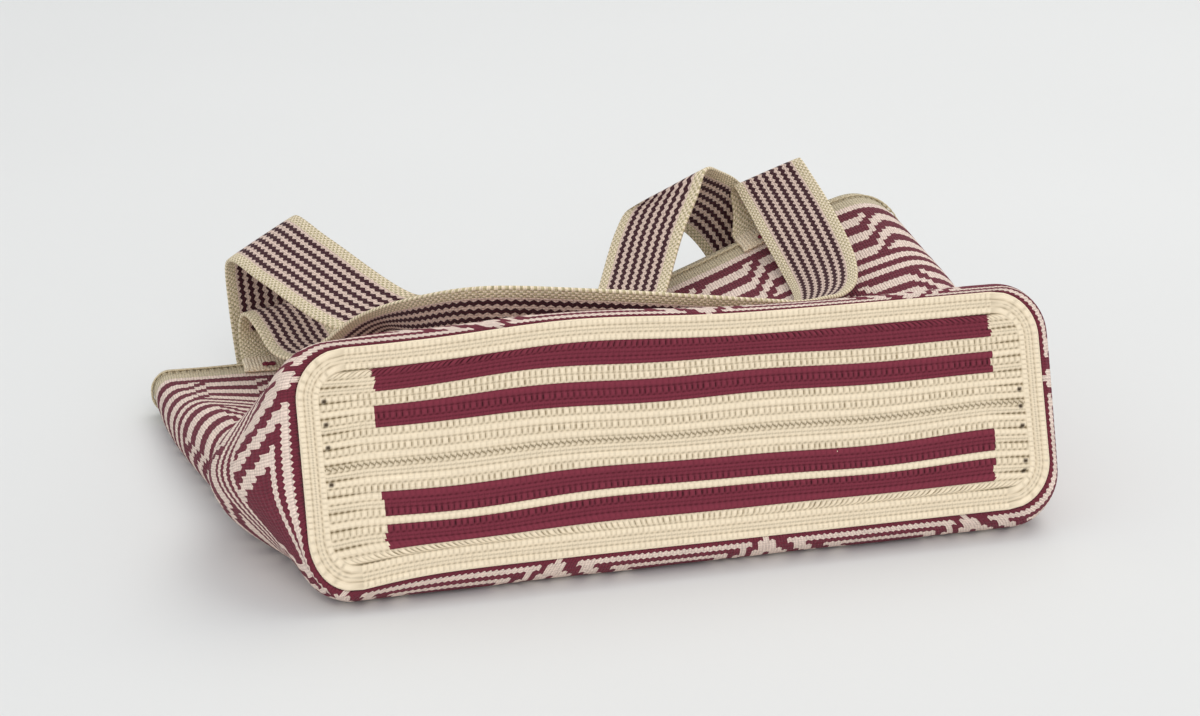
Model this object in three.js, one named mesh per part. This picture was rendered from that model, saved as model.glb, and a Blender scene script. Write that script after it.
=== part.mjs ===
// A crocheted tote bag with two woven shoulder straps, lying on its back panel.
// Millimetres, +Z up. +X runs along the base, +Y from the base towards the mouth.
// The base stands at the front and leans back; the walls sag behind it towards the open mouth.
import * as THREE from 'three';

// Base: a flat crocheted oblong with rounded corners
const BASE_WIDTH = 392;
const BASE_DEPTH = 114.5;
const BASE_CORNER = 25;
const BASE_LEAN = THREE.MathUtils.degToRad(20.6);
const ROW = 4;
const ROW_RIDGE = 0.9;
const BORDER_ROWS = 4;

// Walls: one tube of crochet from the edge of the base to the rim
const WALL_HEIGHT = 307;
const WALL_THICKNESS = 3.5;
const EDGE_ROLL = 17;
const SIDE_ROLL = 6;
const FLARE_LEFT = 46;
const FLARE_RIGHT = 21;
const MOUTH_END_ROUND = 40;
const RIM_HEIGHT_LEFT = 26;
const RIM_HEIGHT_RIGHT = 108;
const RIM_OVERHANG = 5;
const RIM_CURL = 10;
const FLARE_POWER = 1.2;
const SWELL_POWER = 2.1;
const CORNER_LIMIT = 0.46;
const LEFT_PUFF = 22;
const PUFF_SHARE = 0.38;

// Valley that the upper panel sags into, and how far up the wall its floor lies
const VALLEY_HEIGHT_LEFT = 28;
const VALLEY_HEIGHT_RIGHT = 90;
const VALLEY_END_RISE = 16;
const VALLEY_DISTANCE_LEFT = 165;
const VALLEY_DISTANCE = 140;
const VALLEY_SHARE = 0.45;
const VALLEY_END_SHARE = 0.25;
const VALLEY_REACH = 0.6;
const VALLEY_TILT = 0.12;
const CREST_LEFT = 110;
const CREST_RIGHT = 45;
const CREST_ANGLE = THREE.MathUtils.degToRad(45);

// Straps: flat woven bands, sewn to the rim through ribbed tabs
const STRAP_WIDTH = 48;
const STRAP_THICKNESS = 3;
const TAB_LENGTH = 20;
const TAB_THICKNESS = 3;
const TAB_RIB = 0.5;
const TAB_RIBS = 9;
const TAB_LIFT_START = 2.5;
const TAB_LIFT_END = 1.1;
const TAB_INSET_LEFT = 26;
const TAB_INSET_RIGHT = 56;
const SEAM_GAP = 0.3;
const SEAM_TAIL = 4;

// Facets
const SIDE_STEPS = 4;
const CORNER_STEPS = 5;
const PANEL_STEPS = 24;
const FIELD_STEPS = 12;
const WALL_STEPS = 14;
const INNER_STEPS = 11;
const SECTION_STEP = 0.01;
const STRAP_STEPS = 78;
const TANGENT_STEP = 0.004;

const CREAM = 0xe9dfc2;
const WOVEN_ROSE = 0xa98383;

const TAB_LEFT_X = TAB_INSET_LEFT - BASE_WIDTH / 2;
const TAB_RIGHT_X = BASE_WIDTH / 2 - TAB_INSET_RIGHT;

const smooth = (t) => THREE.MathUtils.smoothstep(t, 0, 1);
const clamp = THREE.MathUtils.clamp;
const lerp = THREE.MathUtils.lerp;

function hermite(start, startSlope, end, endSlope, t) {
  const square = t * t;
  const cube = square * t;
  return (2 * cube - 3 * square + 1) * start + (cube - 2 * square + t) * startSlope
    + (3 * square - 2 * cube) * end + (cube - square) * endSlope;
}

// Outline of the sagging tube. v is 0 at the base and 1 at the rim.

// Rise of the folds from the flat left end to the standing right end
function swell(s) {
  return 0.5 - 0.5 * Math.cos(Math.PI * clamp(s, 0, 1) ** SWELL_POWER);
}

function sideX(v, sign, flare) {
  const roll = SIDE_ROLL * Math.sin(Math.min(v * WALL_HEIGHT / SIDE_ROLL, Math.PI / 2));
  return sign * (BASE_WIDTH / 2 + roll + flare * Math.sin(v * Math.PI / 2) ** FLARE_POWER);
}

const leftX = (v) => sideX(v, -1, FLARE_LEFT);
const rightX = (v) => sideX(v, 1, FLARE_RIGHT);

// Stretch of the wall over which the lower panel lifts on to its tabs
const tabShare = TAB_LENGTH / WALL_HEIGHT;
const liftStart = 1 - TAB_LIFT_START * tabShare;
const liftEnd = 1 - TAB_LIFT_END * tabShare;
const tabLevels = [1 - tabShare, 1 - tabShare / 2, 1];

// Lower panel: rolls under the base's edge, then lies flat, lifted at the rim by the sewn tabs
function lowerLine(v) {
  const along = v * WALL_HEIGHT;
  const turn = Math.min(along / EDGE_ROLL, Math.PI / 2);
  const flat = Math.max(along - EDGE_ROLL * Math.PI / 2, 0);
  const lift = (TAB_THICKNESS + 2 * SEAM_GAP) * smooth((v - liftStart) / (liftEnd - liftStart));
  return { y: EDGE_ROLL * (1 - Math.cos(turn)) + flat, z: EDGE_ROLL * (1 - Math.sin(turn)) + lift };
}

const rimY = lowerLine(1).y;
const baseTop = { y: BASE_DEPTH * Math.sin(BASE_LEAN), z: EDGE_ROLL + BASE_DEPTH * Math.cos(BASE_LEAN) };

// Upper panel: over the base's top edge, down into the valley and up again to the rim
function upperLine(x, v) {
  const s = (x - leftX(v)) / (rightX(v) - leftX(v));
  const rise = swell(s);
  const leftEnd = VALLEY_END_RISE * (1 - smooth(s / VALLEY_END_SHARE));
  const valleyZ = lerp(VALLEY_HEIGHT_LEFT, VALLEY_HEIGHT_RIGHT, rise) + leftEnd;
  const rimZ = lerp(RIM_HEIGHT_LEFT, RIM_HEIGHT_RIGHT, rise);
  const crest = lerp(CREST_LEFT, CREST_RIGHT, s);
  const valleyY = lerp(VALLEY_DISTANCE_LEFT, VALLEY_DISTANCE, smooth(s / VALLEY_END_SHARE));
  const valleySlope = VALLEY_TILT * (rimZ - valleyZ);
  const reach = valleyY * VALLEY_REACH;
  if (v < VALLEY_SHARE) {
    const t = v / VALLEY_SHARE;
    return {
      y: hermite(baseTop.y, crest * Math.cos(CREST_ANGLE), valleyY, reach, t),
      z: hermite(baseTop.z, crest * Math.sin(CREST_ANGLE), valleyZ, valleySlope, t),
    };
  }
  const t = (v - VALLEY_SHARE) / (1 - VALLEY_SHARE);
  const stretch = (1 - VALLEY_SHARE) / VALLEY_SHARE;
  return {
    y: hermite(valleyY, reach * stretch, rimY + RIM_OVERHANG, rimY - valleyY, t),
    z: hermite(valleyZ, valleySlope * stretch, rimZ, RIM_CURL, t),
  };
}

// Distance between the two panels at one place
function gape(x, v) {
  const low = lowerLine(v);
  const high = upperLine(x, v);
  return Math.hypot(high.y - low.y, high.z - low.z);
}

// How far the left side stands out beyond its straight line from panel to panel
function leftPuff(share, v) {
  return LEFT_PUFF * Math.sin(Math.PI * Math.min(v / PUFF_SHARE, 1)) * Math.sin(Math.PI * share) ** 2;
}

// Point at x on the section v, climb millimetres from the lower panel towards the upper one
function sectionPoint(x, climb, v) {
  const low = lowerLine(v);
  const high = upperLine(x, v);
  const share = climb / gape(x, v);
  const out = x < 0 ? leftPuff(share, v) : 0;
  return new THREE.Vector3(x - out, lerp(low.y, high.y, share), lerp(low.z, high.z, share));
}

// Rounded oblong between the panels, from the middle of the lower panel round by the right.
// inset draws the outline in from its edge, as the rows of the base do.
function ring(v, inset = 0) {
  const left = leftX(v) + inset;
  const right = rightX(v) - inset;
  const spanRight = gape(right, v);
  const spanLeft = gape(left, v);
  const roundRight = Math.min(lerp(BASE_CORNER, MOUTH_END_ROUND, v), CORNER_LIMIT * spanRight) - inset;
  const roundLeft = Math.min(BASE_CORNER, CORNER_LIMIT * spanLeft) - inset;
  const points = [];
  const put = (steps, place) => {
    for (let i = 0; i < steps; i += 1) points.push(place(i / steps));
  };
  const high = (x, drop) => sectionPoint(x, gape(x, v) - inset - drop, v);
  const low = (x, climb) => sectionPoint(x, inset + climb, v);
  const over = (round, t) => round * Math.sin(t * Math.PI / 2);
  const away = (round, t) => round * (1 - Math.cos(t * Math.PI / 2));
  const rightCentre = right - roundRight;
  const leftCentre = left + roundLeft;
  put(PANEL_STEPS / 2, (t) => low(lerp(0, rightCentre, t), 0));
  put(CORNER_STEPS, (t) => low(rightCentre + over(roundRight, t), away(roundRight, t)));
  put(SIDE_STEPS, (t) => low(right, lerp(roundRight, spanRight - 2 * inset - roundRight, t)));
  put(CORNER_STEPS, (t) => high(rightCentre + over(roundRight, 1 - t), away(roundRight, 1 - t)));
  put(PANEL_STEPS, (t) => high(lerp(rightCentre, leftCentre, t), 0));
  put(CORNER_STEPS, (t) => high(leftCentre - over(roundLeft, t), away(roundLeft, t)));
  put(SIDE_STEPS, (t) => low(left, lerp(spanLeft - 2 * inset - roundLeft, roundLeft, t)));
  put(CORNER_STEPS, (t) => low(leftCentre - over(roundLeft, 1 - t), away(roundLeft, 1 - t)));
  put(PANEL_STEPS / 2, (t) => low(lerp(leftCentre, 0, t), 0));
  return points;
}

// Inner face of the wall at section v, one wall thickness inside the outer face
function innerRing(v) {
  const here = ring(v);
  const before = ring(v - SECTION_STEP);
  const after = ring(Math.min(v + SECTION_STEP, 1));
  return here.map((point, i) => {
    const around = here[(i + 1) % here.length].clone().sub(here.at(i - 1));
    const along = after[i].clone().sub(before[i]);
    return point.clone().addScaledVector(around.cross(along).normalize(), WALL_THICKNESS);
  });
}

const baseNormal = new THREE.Vector3(0, -Math.cos(BASE_LEAN), Math.sin(BASE_LEAN));

// Point of the base: x along it, climb up it from its lower edge, height out of it
function basePoint(x, climb, height) {
  return sectionPoint(x, climb, 0).addScaledVector(baseNormal, height);
}

// Flat coordinates of a point in the plane of the base
function baseFlat(point) {
  return new THREE.Vector2(point.x, (point.z - EDGE_ROLL) / Math.cos(BASE_LEAN));
}

// A surface built up from shared points
class Skin {
  points = [];
  faces = [];

  add(points) {
    const first = this.points.length;
    this.points.push(...points);
    return points.map((_, i) => first + i);
  }

  // Band between two closed rows of points
  band(from, to) {
    from.forEach((a, i) => {
      const next = (i + 1) % from.length;
      this.faces.push([a, to[i], from[next]], [from[next], to[i], to[next]]);
    });
  }

  // Flat filling between an outline and any holes in it
  fill(outline, holes, flat, facing) {
    const all = [outline, ...holes].flat();
    const flatOutline = outline.map((i) => flat(this.points[i]));
    const flatHoles = holes.map((hole) => hole.map((i) => flat(this.points[i])));
    const turned = (a, b, c) => {
      const [p, q, r] = [a, b, c].map((i) => flat(this.points[i]));
      return Math.sign(q.clone().sub(p).cross(r.clone().sub(p))) === facing ? [a, b, c] : [a, c, b];
    };
    THREE.ShapeUtils.triangulateShape(flatOutline, flatHoles)
      .forEach((face) => this.faces.push(turned(...face.map((i) => all[i]))));
  }

  geometry() {
    const geometry = new THREE.BufferGeometry();
    const numbers = this.points.flatMap((p) => p.toArray());
    geometry.setAttribute('position', new THREE.Float32BufferAttribute(numbers, 3));
    geometry.setIndex(this.faces.flat());
    geometry.computeVertexNormals();
    return geometry;
  }
}

// Lengthwise rows in the middle of the base, with the outline of their ends
function addRowField(skin) {
  const edge = (BORDER_ROWS + 0.5) * ROW;
  const halfWidth = BASE_WIDTH / 2 - edge;
  const halfDepth = BASE_DEPTH / 2 - edge;
  const round = Math.max(BASE_CORNER - edge, ROW);
  const lines = 2 * Math.round(2 * halfDepth / ROW);
  const rows = [];
  for (let k = 0; k <= lines; k += 1) {
    const across = lerp(-halfDepth, halfDepth, k / lines);
    const intoCorner = Math.max(Math.abs(across) - (halfDepth - round), 0);
    const end = halfWidth - round + Math.sqrt(Math.max(round ** 2 - intoCorner ** 2, 0));
    const height = k % 2 ? ROW_RIDGE : 0;
    const line = [];
    for (let i = 0; i <= FIELD_STEPS; i += 1) {
      line.push(basePoint(lerp(-end, end, i / FIELD_STEPS), BASE_DEPTH / 2 + across, height));
    }
    rows.push(skin.add(line));
  }
  for (let k = 0; k < lines; k += 1) {
    for (let i = 0; i < FIELD_STEPS; i += 1) {
      const [a, b] = [rows[k][i], rows[k][i + 1]];
      const [c, d] = [rows[k + 1][i], rows[k + 1][i + 1]];
      skin.faces.push([a, b, d], [a, d, c]);
    }
  }
  const inner = rows.slice(1, -1);
  return [
    ...rows[0],
    ...inner.map((row) => row.at(-1)),
    ...rows.at(-1).slice().reverse(),
    ...inner.map((row) => row[0]).reverse(),
  ];
}

// Sections at which the wall is drawn: close together where it rolls over an edge
function wallLevels() {
  const roll = EDGE_ROLL * Math.PI / 2 / WALL_HEIGHT;
  const levels = [0, 0.25, 0.5, 0.75].map((t) => t * roll);
  for (let i = 0; i < WALL_STEPS; i += 1) levels.push(lerp(roll, liftStart, i / WALL_STEPS));
  levels.push(liftStart, (liftStart + liftEnd) / 2, liftEnd, ...tabLevels);
  return levels;
}

// The whole crocheted body: rows of the base, its border, the wall, the rim and the inside
function bodyGeometry() {
  const skin = new Skin();
  const field = addRowField(skin);
  let last;
  for (let k = 2 * BORDER_ROWS; k > 0; k -= 1) {
    const height = k % 2 ? ROW_RIDGE : 0;
    const row = skin.add(ring(0, k * ROW / 2).map((p) => p.addScaledVector(baseNormal, height)));
    if (last) skin.band(last, row);
    else skin.fill(row, [field], baseFlat, 1);
    last = row;
  }
  const grow = (points) => {
    const row = skin.add(points);
    skin.band(last, row);
    last = row;
  };
  wallLevels().forEach((v) => grow(ring(v)));
  const innerFoot = EDGE_ROLL / WALL_HEIGHT;
  for (let i = 0; i <= INNER_STEPS; i += 1) grow(innerRing(lerp(1, innerFoot, i / INNER_STEPS)));
  grow(ring(0, 2 * WALL_THICKNESS).map((p) => p.addScaledVector(baseNormal, -WALL_THICKNESS)));
  skin.fill(last, [], baseFlat, -1);
  return skin.geometry();
}

// Sewn tabs and straps

// Outer face of either panel near the rim: its point and its outward direction
function panelFace(x, v, isUpper) {
  const climb = (at) => (isUpper ? gape(at, v) : 0);
  const point = sectionPoint(x, climb(x), v);
  const across = sectionPoint(x + 1, climb(x + 1), v).sub(point);
  const back = v - SECTION_STEP;
  const along = point.clone().sub(sectionPoint(x, isUpper ? gape(x, back) : 0, back));
  const outward = across.cross(along).normalize();
  return { point, outward: outward.multiplyScalar(isUpper ? 1 : -1) };
}

// Ribbed tab that lies on a panel's outer face and ends at the rim
function tabGeometry(centreX, isUpper) {
  const skin = new Skin();
  const columns = 2 * TAB_RIBS;
  const loops = tabLevels.map((v) => {
    const inner = [];
    const outer = [];
    for (let i = 0; i <= columns; i += 1) {
      const { point, outward } = panelFace(centreX + STRAP_WIDTH * (i / columns - 0.5), v, isUpper);
      const rib = i % 2 ? 0 : TAB_RIB;
      inner.push(point.clone().addScaledVector(outward, SEAM_GAP));
      outer.push(point.clone().addScaledVector(outward, SEAM_GAP + TAB_THICKNESS - rib));
    }
    const loop = [...inner, ...outer.reverse()];
    return skin.add(isUpper ? loop : loop.reverse());
  });
  skin.band(loops[0], loops[1]);
  skin.band(loops[1], loops[2]);
  closeEnd(skin, loops[0], 1);
  closeEnd(skin, loops[2], -1);
  return skin.geometry();
}

// Flat end of a band: its two long rows of points are joined across
function closeEnd(skin, loop, facing) {
  const half = loop.length / 2;
  for (let i = 0; i < half - 1; i += 1) {
    const [a, b] = [loop[i], loop[i + 1]];
    const [c, d] = [loop[loop.length - 2 - i], loop[loop.length - 1 - i]];
    const faces = [[a, c, b], [a, d, c]];
    faces.forEach(([p, q, r]) => skin.faces.push(facing > 0 ? [p, r, q] : [p, q, r]));
  }
}

// Middle of a tab's end face at the rim, where the strap is sewn on, or a little way beyond it
function seamPoint(x, isUpper, beyond) {
  const { point, outward } = panelFace(x, 1, isUpper);
  const along = point.clone().sub(panelFace(x, 1 - SECTION_STEP, isUpper).point).normalize();
  return point.addScaledVector(outward, SEAM_GAP + TAB_THICKNESS / 2)
    .addScaledVector(along, SEAM_GAP + beyond);
}

const shifted = (point, x, y, z) => point.clone().add(new THREE.Vector3(x, y, z));

// One place along a strap: a point of its outer border and the way across to its inner border
function place(outer, lean) {
  return { outer, inner: outer.clone().addScaledVector(lean.normalize(), STRAP_WIDTH) };
}

const lean = (x, y, z) => new THREE.Vector3(x, y, z);

function seamPlace(centreX, outerSign, isUpper, beyond = 0) {
  return {
    outer: seamPoint(centreX + outerSign * STRAP_WIDTH / 2, isUpper, beyond),
    inner: seamPoint(centreX - outerSign * STRAP_WIDTH / 2, isUpper, beyond),
  };
}

// Band of the strap's thickness between its two borders
function strapGeometry(places) {
  const outerLine = new THREE.CatmullRomCurve3(places.map((p) => p.outer), false, 'centripetal');
  const innerLine = new THREE.CatmullRomCurve3(places.map((p) => p.inner), false, 'centripetal');
  const middle = (t) => outerLine.getPoint(t).lerp(innerLine.getPoint(t), 0.5);
  const edge = STRAP_THICKNESS / 2 / STRAP_WIDTH;
  const skin = new Skin();
  const loops = [];
  for (let i = 0; i <= STRAP_STEPS; i += 1) {
    const t = i / STRAP_STEPS;
    const outer = outerLine.getPoint(t);
    const inner = innerLine.getPoint(t);
    const along = middle(Math.min(t + TANGENT_STEP, 1)).sub(middle(Math.max(t - TANGENT_STEP, 0)));
    const face = along.cross(inner.clone().sub(outer)).setLength(STRAP_THICKNESS / 2);
    const at = (share, rise) => outer.clone().lerp(inner, share).addScaledVector(face, rise);
    const under = [at(0, 0), at(edge, -1), at(1 - edge, -1)];
    const over = [at(1, 0), at(1 - edge, 1), at(edge, 1)];
    loops.push(skin.add([...under, ...over]));
  }
  for (let i = 0; i < STRAP_STEPS; i += 1) skin.band(loops[i + 1], loops[i]);
  [[loops[0], 1], [loops[STRAP_STEPS], -1]].forEach(([loop, facing]) => {
    for (let i = 1; i < loop.length - 1; i += 1) {
      skin.faces.push(facing > 0 ? [loop[0], loop[i + 1], loop[i]] : [loop[0], loop[i], loop[i + 1]]);
    }
  });
  return skin.geometry();
}

// Crest of the wall behind the base's top edge, and the floor of the valley
const topEdge = (x) => sectionPoint(x, gape(x, 0), 0);
const valleyFloor = (x, share) => sectionPoint(x, gape(x, share), share);

// Front strap: loops over the rim, lies along the back of the base's top edge and returns
function frontStrapPlaces() {
  const start = seamPlace(TAB_LEFT_X, -1, true);
  const end = seamPlace(TAB_RIGHT_X, 1, true);
  const left = start.outer;
  const right = end.outer;
  return [
    start,
    seamPlace(TAB_LEFT_X, -1, true, SEAM_TAIL),
    place(shifted(left, 0, 12, 10), lean(46, 8, 1)),
    place(shifted(left, 1, 9, 23), lean(45, 16, 0)),
    place(shifted(left, 3, -3, 29), lean(44, 19, -1)),
    place(shifted(left, 7, -24, 27), lean(44, 19, -2)),
    place(shifted(left, 12, -48, 21), lean(44, 20, -2)),
    place(shifted(left, 20, -69, 23), lean(43, 22, -6)),
    place(shifted(left, 34, -94, 39), lean(40, 24, -15)),
    place(shifted(topEdge(-145), 0, 115, -24), lean(33, 26, -23)),
    place(shifted(topEdge(-124), 0, 70, -1), lean(14, 20, -41)),
    place(shifted(topEdge(-93), 0, 40, 12), lean(3, 18, -44)),
    place(shifted(topEdge(-31), 0, 35, 7), lean(0, 17, -44)),
    place(shifted(topEdge(23), 0, 36, -1), lean(0, 21, -43)),
    place(shifted(topEdge(58), 0, 42, -8), lean(-1, 26, -40)),
    place(shifted(topEdge(86), 0, 56, -16), lean(-2, 30, -37)),
    place(shifted(topEdge(109), 0, 78, -23), lean(-6, 41, -24)),
    place(shifted(topEdge(128), 0, 99, -29), lean(-15, 41, -20)),
    place(shifted(right, -20, -140, -4), lean(-25, 36, -18)),
    place(shifted(right, -10, -109, 1), lean(-32, 28, -21)),
    place(shifted(right, -5, -57, 14), lean(-37, 21, -21)),
    place(shifted(right, -5, -17, 25), lean(-36, 22, -22)),
    place(shifted(right, -6, -1, 30), lean(-36, 22, -22)),
    place(shifted(right, -3, 9, 24), lean(-40, 16, -21)),
    place(shifted(right, 0, 11, 11), lean(-45, 6, -19)),
    seamPlace(TAB_RIGHT_X, 1, true, SEAM_TAIL),
    end,
  ];
}

// Back strap: rises behind the mouth, falls over it into the valley and returns
function backStrapPlaces() {
  const start = seamPlace(TAB_LEFT_X, -1, false);
  const end = seamPlace(TAB_RIGHT_X, 1, false);
  const left = start.outer;
  const right = end.outer;
  return [
    start,
    seamPlace(TAB_LEFT_X, -1, false, SEAM_TAIL),
    place(shifted(left, 0, 22, 5), lean(47, 8, 1)),
    place(shifted(left, -1, 34, 22), lean(46, 12, 4)),
    place(shifted(left, -3, 37, 50), lean(46, 9, 10)),
    place(shifted(left, -4, 34, 75), lean(43, 3, 22)),
    place(shifted(left, -2, 22, 83), lean(42, 1, 25)),
    place(shifted(left, 11, -20, 82), lean(43, 5, 21)),
    place(shifted(left, 48, -95, 74), lean(43, 17, 12)),
    place(shifted(valleyFloor(-122, 0.6), 0, 26, 50), lean(38, 29, 4)),
    place(shifted(valleyFloor(-96, 0.55), 0, 30, 25), lean(22, 42, 0)),
    place(shifted(valleyFloor(-68, 0.5), 0, 18, 16), lean(6, 47, -4)),
    place(shifted(valleyFloor(-20, 0.45), 0, 22, 10), lean(-14, 45, 0)),
    place(shifted(valleyFloor(20, 0.55), 0, 10, 12), lean(-28, 38, -4)),
    place(shifted(right, -112, -61, 70), lean(-33, 34, -8)),
    place(shifted(right, -90, -23, 95), lean(-34, 32, -9)),
    place(shifted(right, -76, -6, 112), lean(-38, 22, -15)),
    place(shifted(right, -67, 7, 123), lean(-42, 6, -22)),
    place(shifted(right, -52, 24, 116), lean(-38, 7, -28)),
    place(shifted(right, -34, 38, 103), lean(-30, 9, -36)),
    place(shifted(right, -18, 43, 80), lean(-31, 8, -36)),
    place(shifted(right, -7, 40, 48), lean(-40, 5, -26)),
    place(shifted(right, 0, 30, 17), lean(-47, 4, -8)),
    place(shifted(right, 0, 16, 3), lean(-48, 1, -1)),
    seamPlace(TAB_RIGHT_X, 1, false, SEAM_TAIL),
    end,
  ];
}

function piece(name, geometry, color, roughness) {
  const material = new THREE.MeshStandardMaterial({ color, roughness, metalness: 0 });
  const mesh = new THREE.Mesh(geometry, material);
  mesh.name = name;
  return mesh;
}

const bag = new THREE.Group();
bag.add(
  piece('bag_body', bodyGeometry(), CREAM, 0.95),
  piece('front_strap', strapGeometry(frontStrapPlaces()), WOVEN_ROSE, 0.85),
  piece('back_strap', strapGeometry(backStrapPlaces()), WOVEN_ROSE, 0.85),
  piece('front_left_tab', tabGeometry(TAB_LEFT_X, true), CREAM, 0.95),
  piece('front_right_tab', tabGeometry(TAB_RIGHT_X, true), CREAM, 0.95),
  piece('back_left_tab', tabGeometry(TAB_LEFT_X, false), CREAM, 0.95),
  piece('back_right_tab', tabGeometry(TAB_RIGHT_X, false), CREAM, 0.95),
);

// The frame's origin lies under the middle of the whole bag
const extent = new THREE.Box3().setFromObject(bag);
const middle = extent.getCenter(new THREE.Vector3());
bag.children.forEach((mesh) => mesh.geometry.translate(-middle.x, -middle.y, -extent.min.z));

export default bag;
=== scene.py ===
"""Looks of a crocheted tote bag with two woven shoulder straps, lying on its back panel.

The shapes follow the part's own formulas in millimetres, measured from the lower edge of the
base. Each finished mesh is written in metres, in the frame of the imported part.
"""

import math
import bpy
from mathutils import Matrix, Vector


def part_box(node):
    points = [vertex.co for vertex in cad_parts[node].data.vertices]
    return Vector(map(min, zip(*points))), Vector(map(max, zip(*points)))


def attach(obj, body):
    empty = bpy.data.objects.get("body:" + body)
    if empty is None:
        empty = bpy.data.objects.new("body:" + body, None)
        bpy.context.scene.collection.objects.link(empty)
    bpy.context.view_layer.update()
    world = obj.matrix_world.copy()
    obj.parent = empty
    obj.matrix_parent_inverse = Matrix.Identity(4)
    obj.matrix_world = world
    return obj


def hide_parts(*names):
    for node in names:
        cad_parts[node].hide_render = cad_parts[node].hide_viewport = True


bl_info = {
    "name": "Crocheted tote bag",
    "version": (1, 0, 0),
    "blender": (4, 5, 0),
    "location": "View3D > Sidebar > Tote bag",
    "description": "Builds the crocheted body, woven straps, ribbed tabs and studio of a tote bag",
    "category": "Object",
}

import bpy
import numpy as np
from bpy.props import FloatProperty, FloatVectorProperty, PointerProperty
from mathutils import Vector

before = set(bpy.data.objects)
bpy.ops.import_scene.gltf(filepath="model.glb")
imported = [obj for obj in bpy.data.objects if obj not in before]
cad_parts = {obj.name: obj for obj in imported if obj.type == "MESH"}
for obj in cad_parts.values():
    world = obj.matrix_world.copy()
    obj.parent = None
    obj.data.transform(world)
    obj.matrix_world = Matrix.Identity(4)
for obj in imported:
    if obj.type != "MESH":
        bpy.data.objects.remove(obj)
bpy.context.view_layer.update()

MM = 0.001
# a full turn in radians as the random draws use it, and a step too small to see
FULL_TURN = 6.28
TINY = 1e-6
# a short way along the wall, as a share of its height
NEAR = 0.01
# an unevenness is the mean of so many waves of about its size, brought back to about 1
WAVES = 7
WAVE_SIZES = (0.7, 1.6)
WAVE_GAIN = 1.6
# what each set of random draws starts from
SWAY_SEED = 3
WALL_SEED = 4
STRIPE_SEED = 5
BASE_SEED = 8
FIELD_SEED = 11
TONE_SEED = 11
BORDER_SEED = 12

# Base: a flat crocheted oblong with rounded corners, in millimetres as all sizes below
BASE_WIDTH = 392.0
BASE_DEPTH = 114.5
BASE_CORNER = 25.0
BASE_LEAN = math.radians(20.6)

# Walls: one tube of crochet from the edge of the base to the rim. It rolls round the base's edge,
# flares towards the mouth and stands out on the left like a pillow.
WALL_HEIGHT = 307.0
WALL_THICKNESS = 3.5
EDGE_ROLL = 17.0
SIDE_ROLL = 6.0
FLARE_LEFT = 46.0
FLARE_RIGHT = 21.0
MOUTH_END_ROUND = 40.0
RIM_HEIGHT_LEFT = 26.0
RIM_HEIGHT_RIGHT = 108.0
RIM_OVERHANG = 5.0
RIM_CURL = 10.0
FLARE_POWER = 1.2
SWELL_POWER = 2.1
CORNER_LIMIT = 0.46
LEFT_PUFF = 22.0
PUFF_SHARE = 0.38
# points of each arc and each straight stretch of a ring round the wall
ARC_POINTS = 24
SIDE_POINTS = 120

# Valley that the upper panel sags into: its heights above the floor, its distances from the base's
# foot, and shares of the wall's height and of the bag's width
VALLEY_HEIGHT_LEFT = 28.0
VALLEY_HEIGHT_RIGHT = 90.0
VALLEY_END_RISE = 16.0
VALLEY_DISTANCE_LEFT = 165.0
VALLEY_DISTANCE = 140.0
VALLEY_SHARE = 0.45
VALLEY_END_SHARE = 0.25
VALLEY_REACH = 0.6
VALLEY_TILT = 0.12
CREST_LEFT = 110.0
CREST_RIGHT = 45.0
CREST_ANGLE = math.radians(45)

# Straps and the tabs that hold them
STRAP_WIDTH = 48.0
STRAP_THICKNESS = 3.0
TAB_LENGTH = 20.0
TAB_THICKNESS = 3.0
TAB_LEFT_INSET = 26.0
TAB_RIGHT_INSET = 56.0
TAB_LEFT_X = TAB_LEFT_INSET - BASE_WIDTH / 2
TAB_RIGHT_X = BASE_WIDTH / 2 - TAB_RIGHT_INSET
# the tabs under the bag lift the lower panel, between these distances from the rim in tab lengths
TAB_LIFT_START = 2.5
TAB_LIFT_END = 1.1
# steps and corners of the straps' mesh, samples along their borders, and how round these are
STRAP_STEP = 1.8
STRAP_CORNERS = 64
STRAP_SAMPLES = 3000
STRAP_ACROSS_POWER = 0.8
STRAP_RISE_POWER = 0.25
# ribs of a tab, lines of its mesh, and its edges, which are rounded and thinner
TAB_RIBS = 24
TAB_LINES = 13
TAB_RIB_HEIGHT = 0.25
TAB_RIB_ROOM = 0.3
TAB_EDGE_ROUND = 1.2
TAB_EDGE_SHARE = 0.35
# each tab: its node, its middle and whether it is on the upper panel
TABS = (
    ("front_left_tab", TAB_LEFT_X, True),
    ("front_right_tab", TAB_RIGHT_X, True),
    ("back_left_tab", TAB_LEFT_X, False),
    ("back_right_tab", TAB_RIGHT_X, False),
)
SEAM_GAP = 0.3
SEAM_TAIL = 4.0

# Rows of the base from its lower edge upwards: c cream or b burgundy yarn,
# and how each row was worked: p plain, l with a line of loops, s with slits between the posts,
# m with faint slits, z with a jagged line of pulled loops
FIELD_YARN = "c" "bbb" "c" "bbb" "cccccccc" "bbb" "cc" "bbb"
FIELD_WORK = "s" "pls" "p" "slp" "splzpsps" "lsp" "ss" "lls"
BORDER_WORK = "mlm"
# where the burgundy stripes begin and end, how their right ends step outwards, how many quarters
# of a stitch they are jagged by, and how likely a stray cream tuft is on each face
STRIPE_LEFT = -158.0
STRIPE_RIGHT = 163.5
STRIPE_RIGHT_GROWTH = 0.055
STRIPE_JAG = 0.25
STRIPE_JAGS = 3
TUFT_CHANCE = 0.00008
# columns of the base's mesh in each stitch, close together where the slits are, lines in each row,
# and lines to each stitch of the border along the ends of the rows
COLUMN_PLACES = (0.0, 0.14, 0.5, 0.86)
ROW_LINES = 6
END_STITCH_LINES = 4
RIDGE_POWER = 0.7
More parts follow.
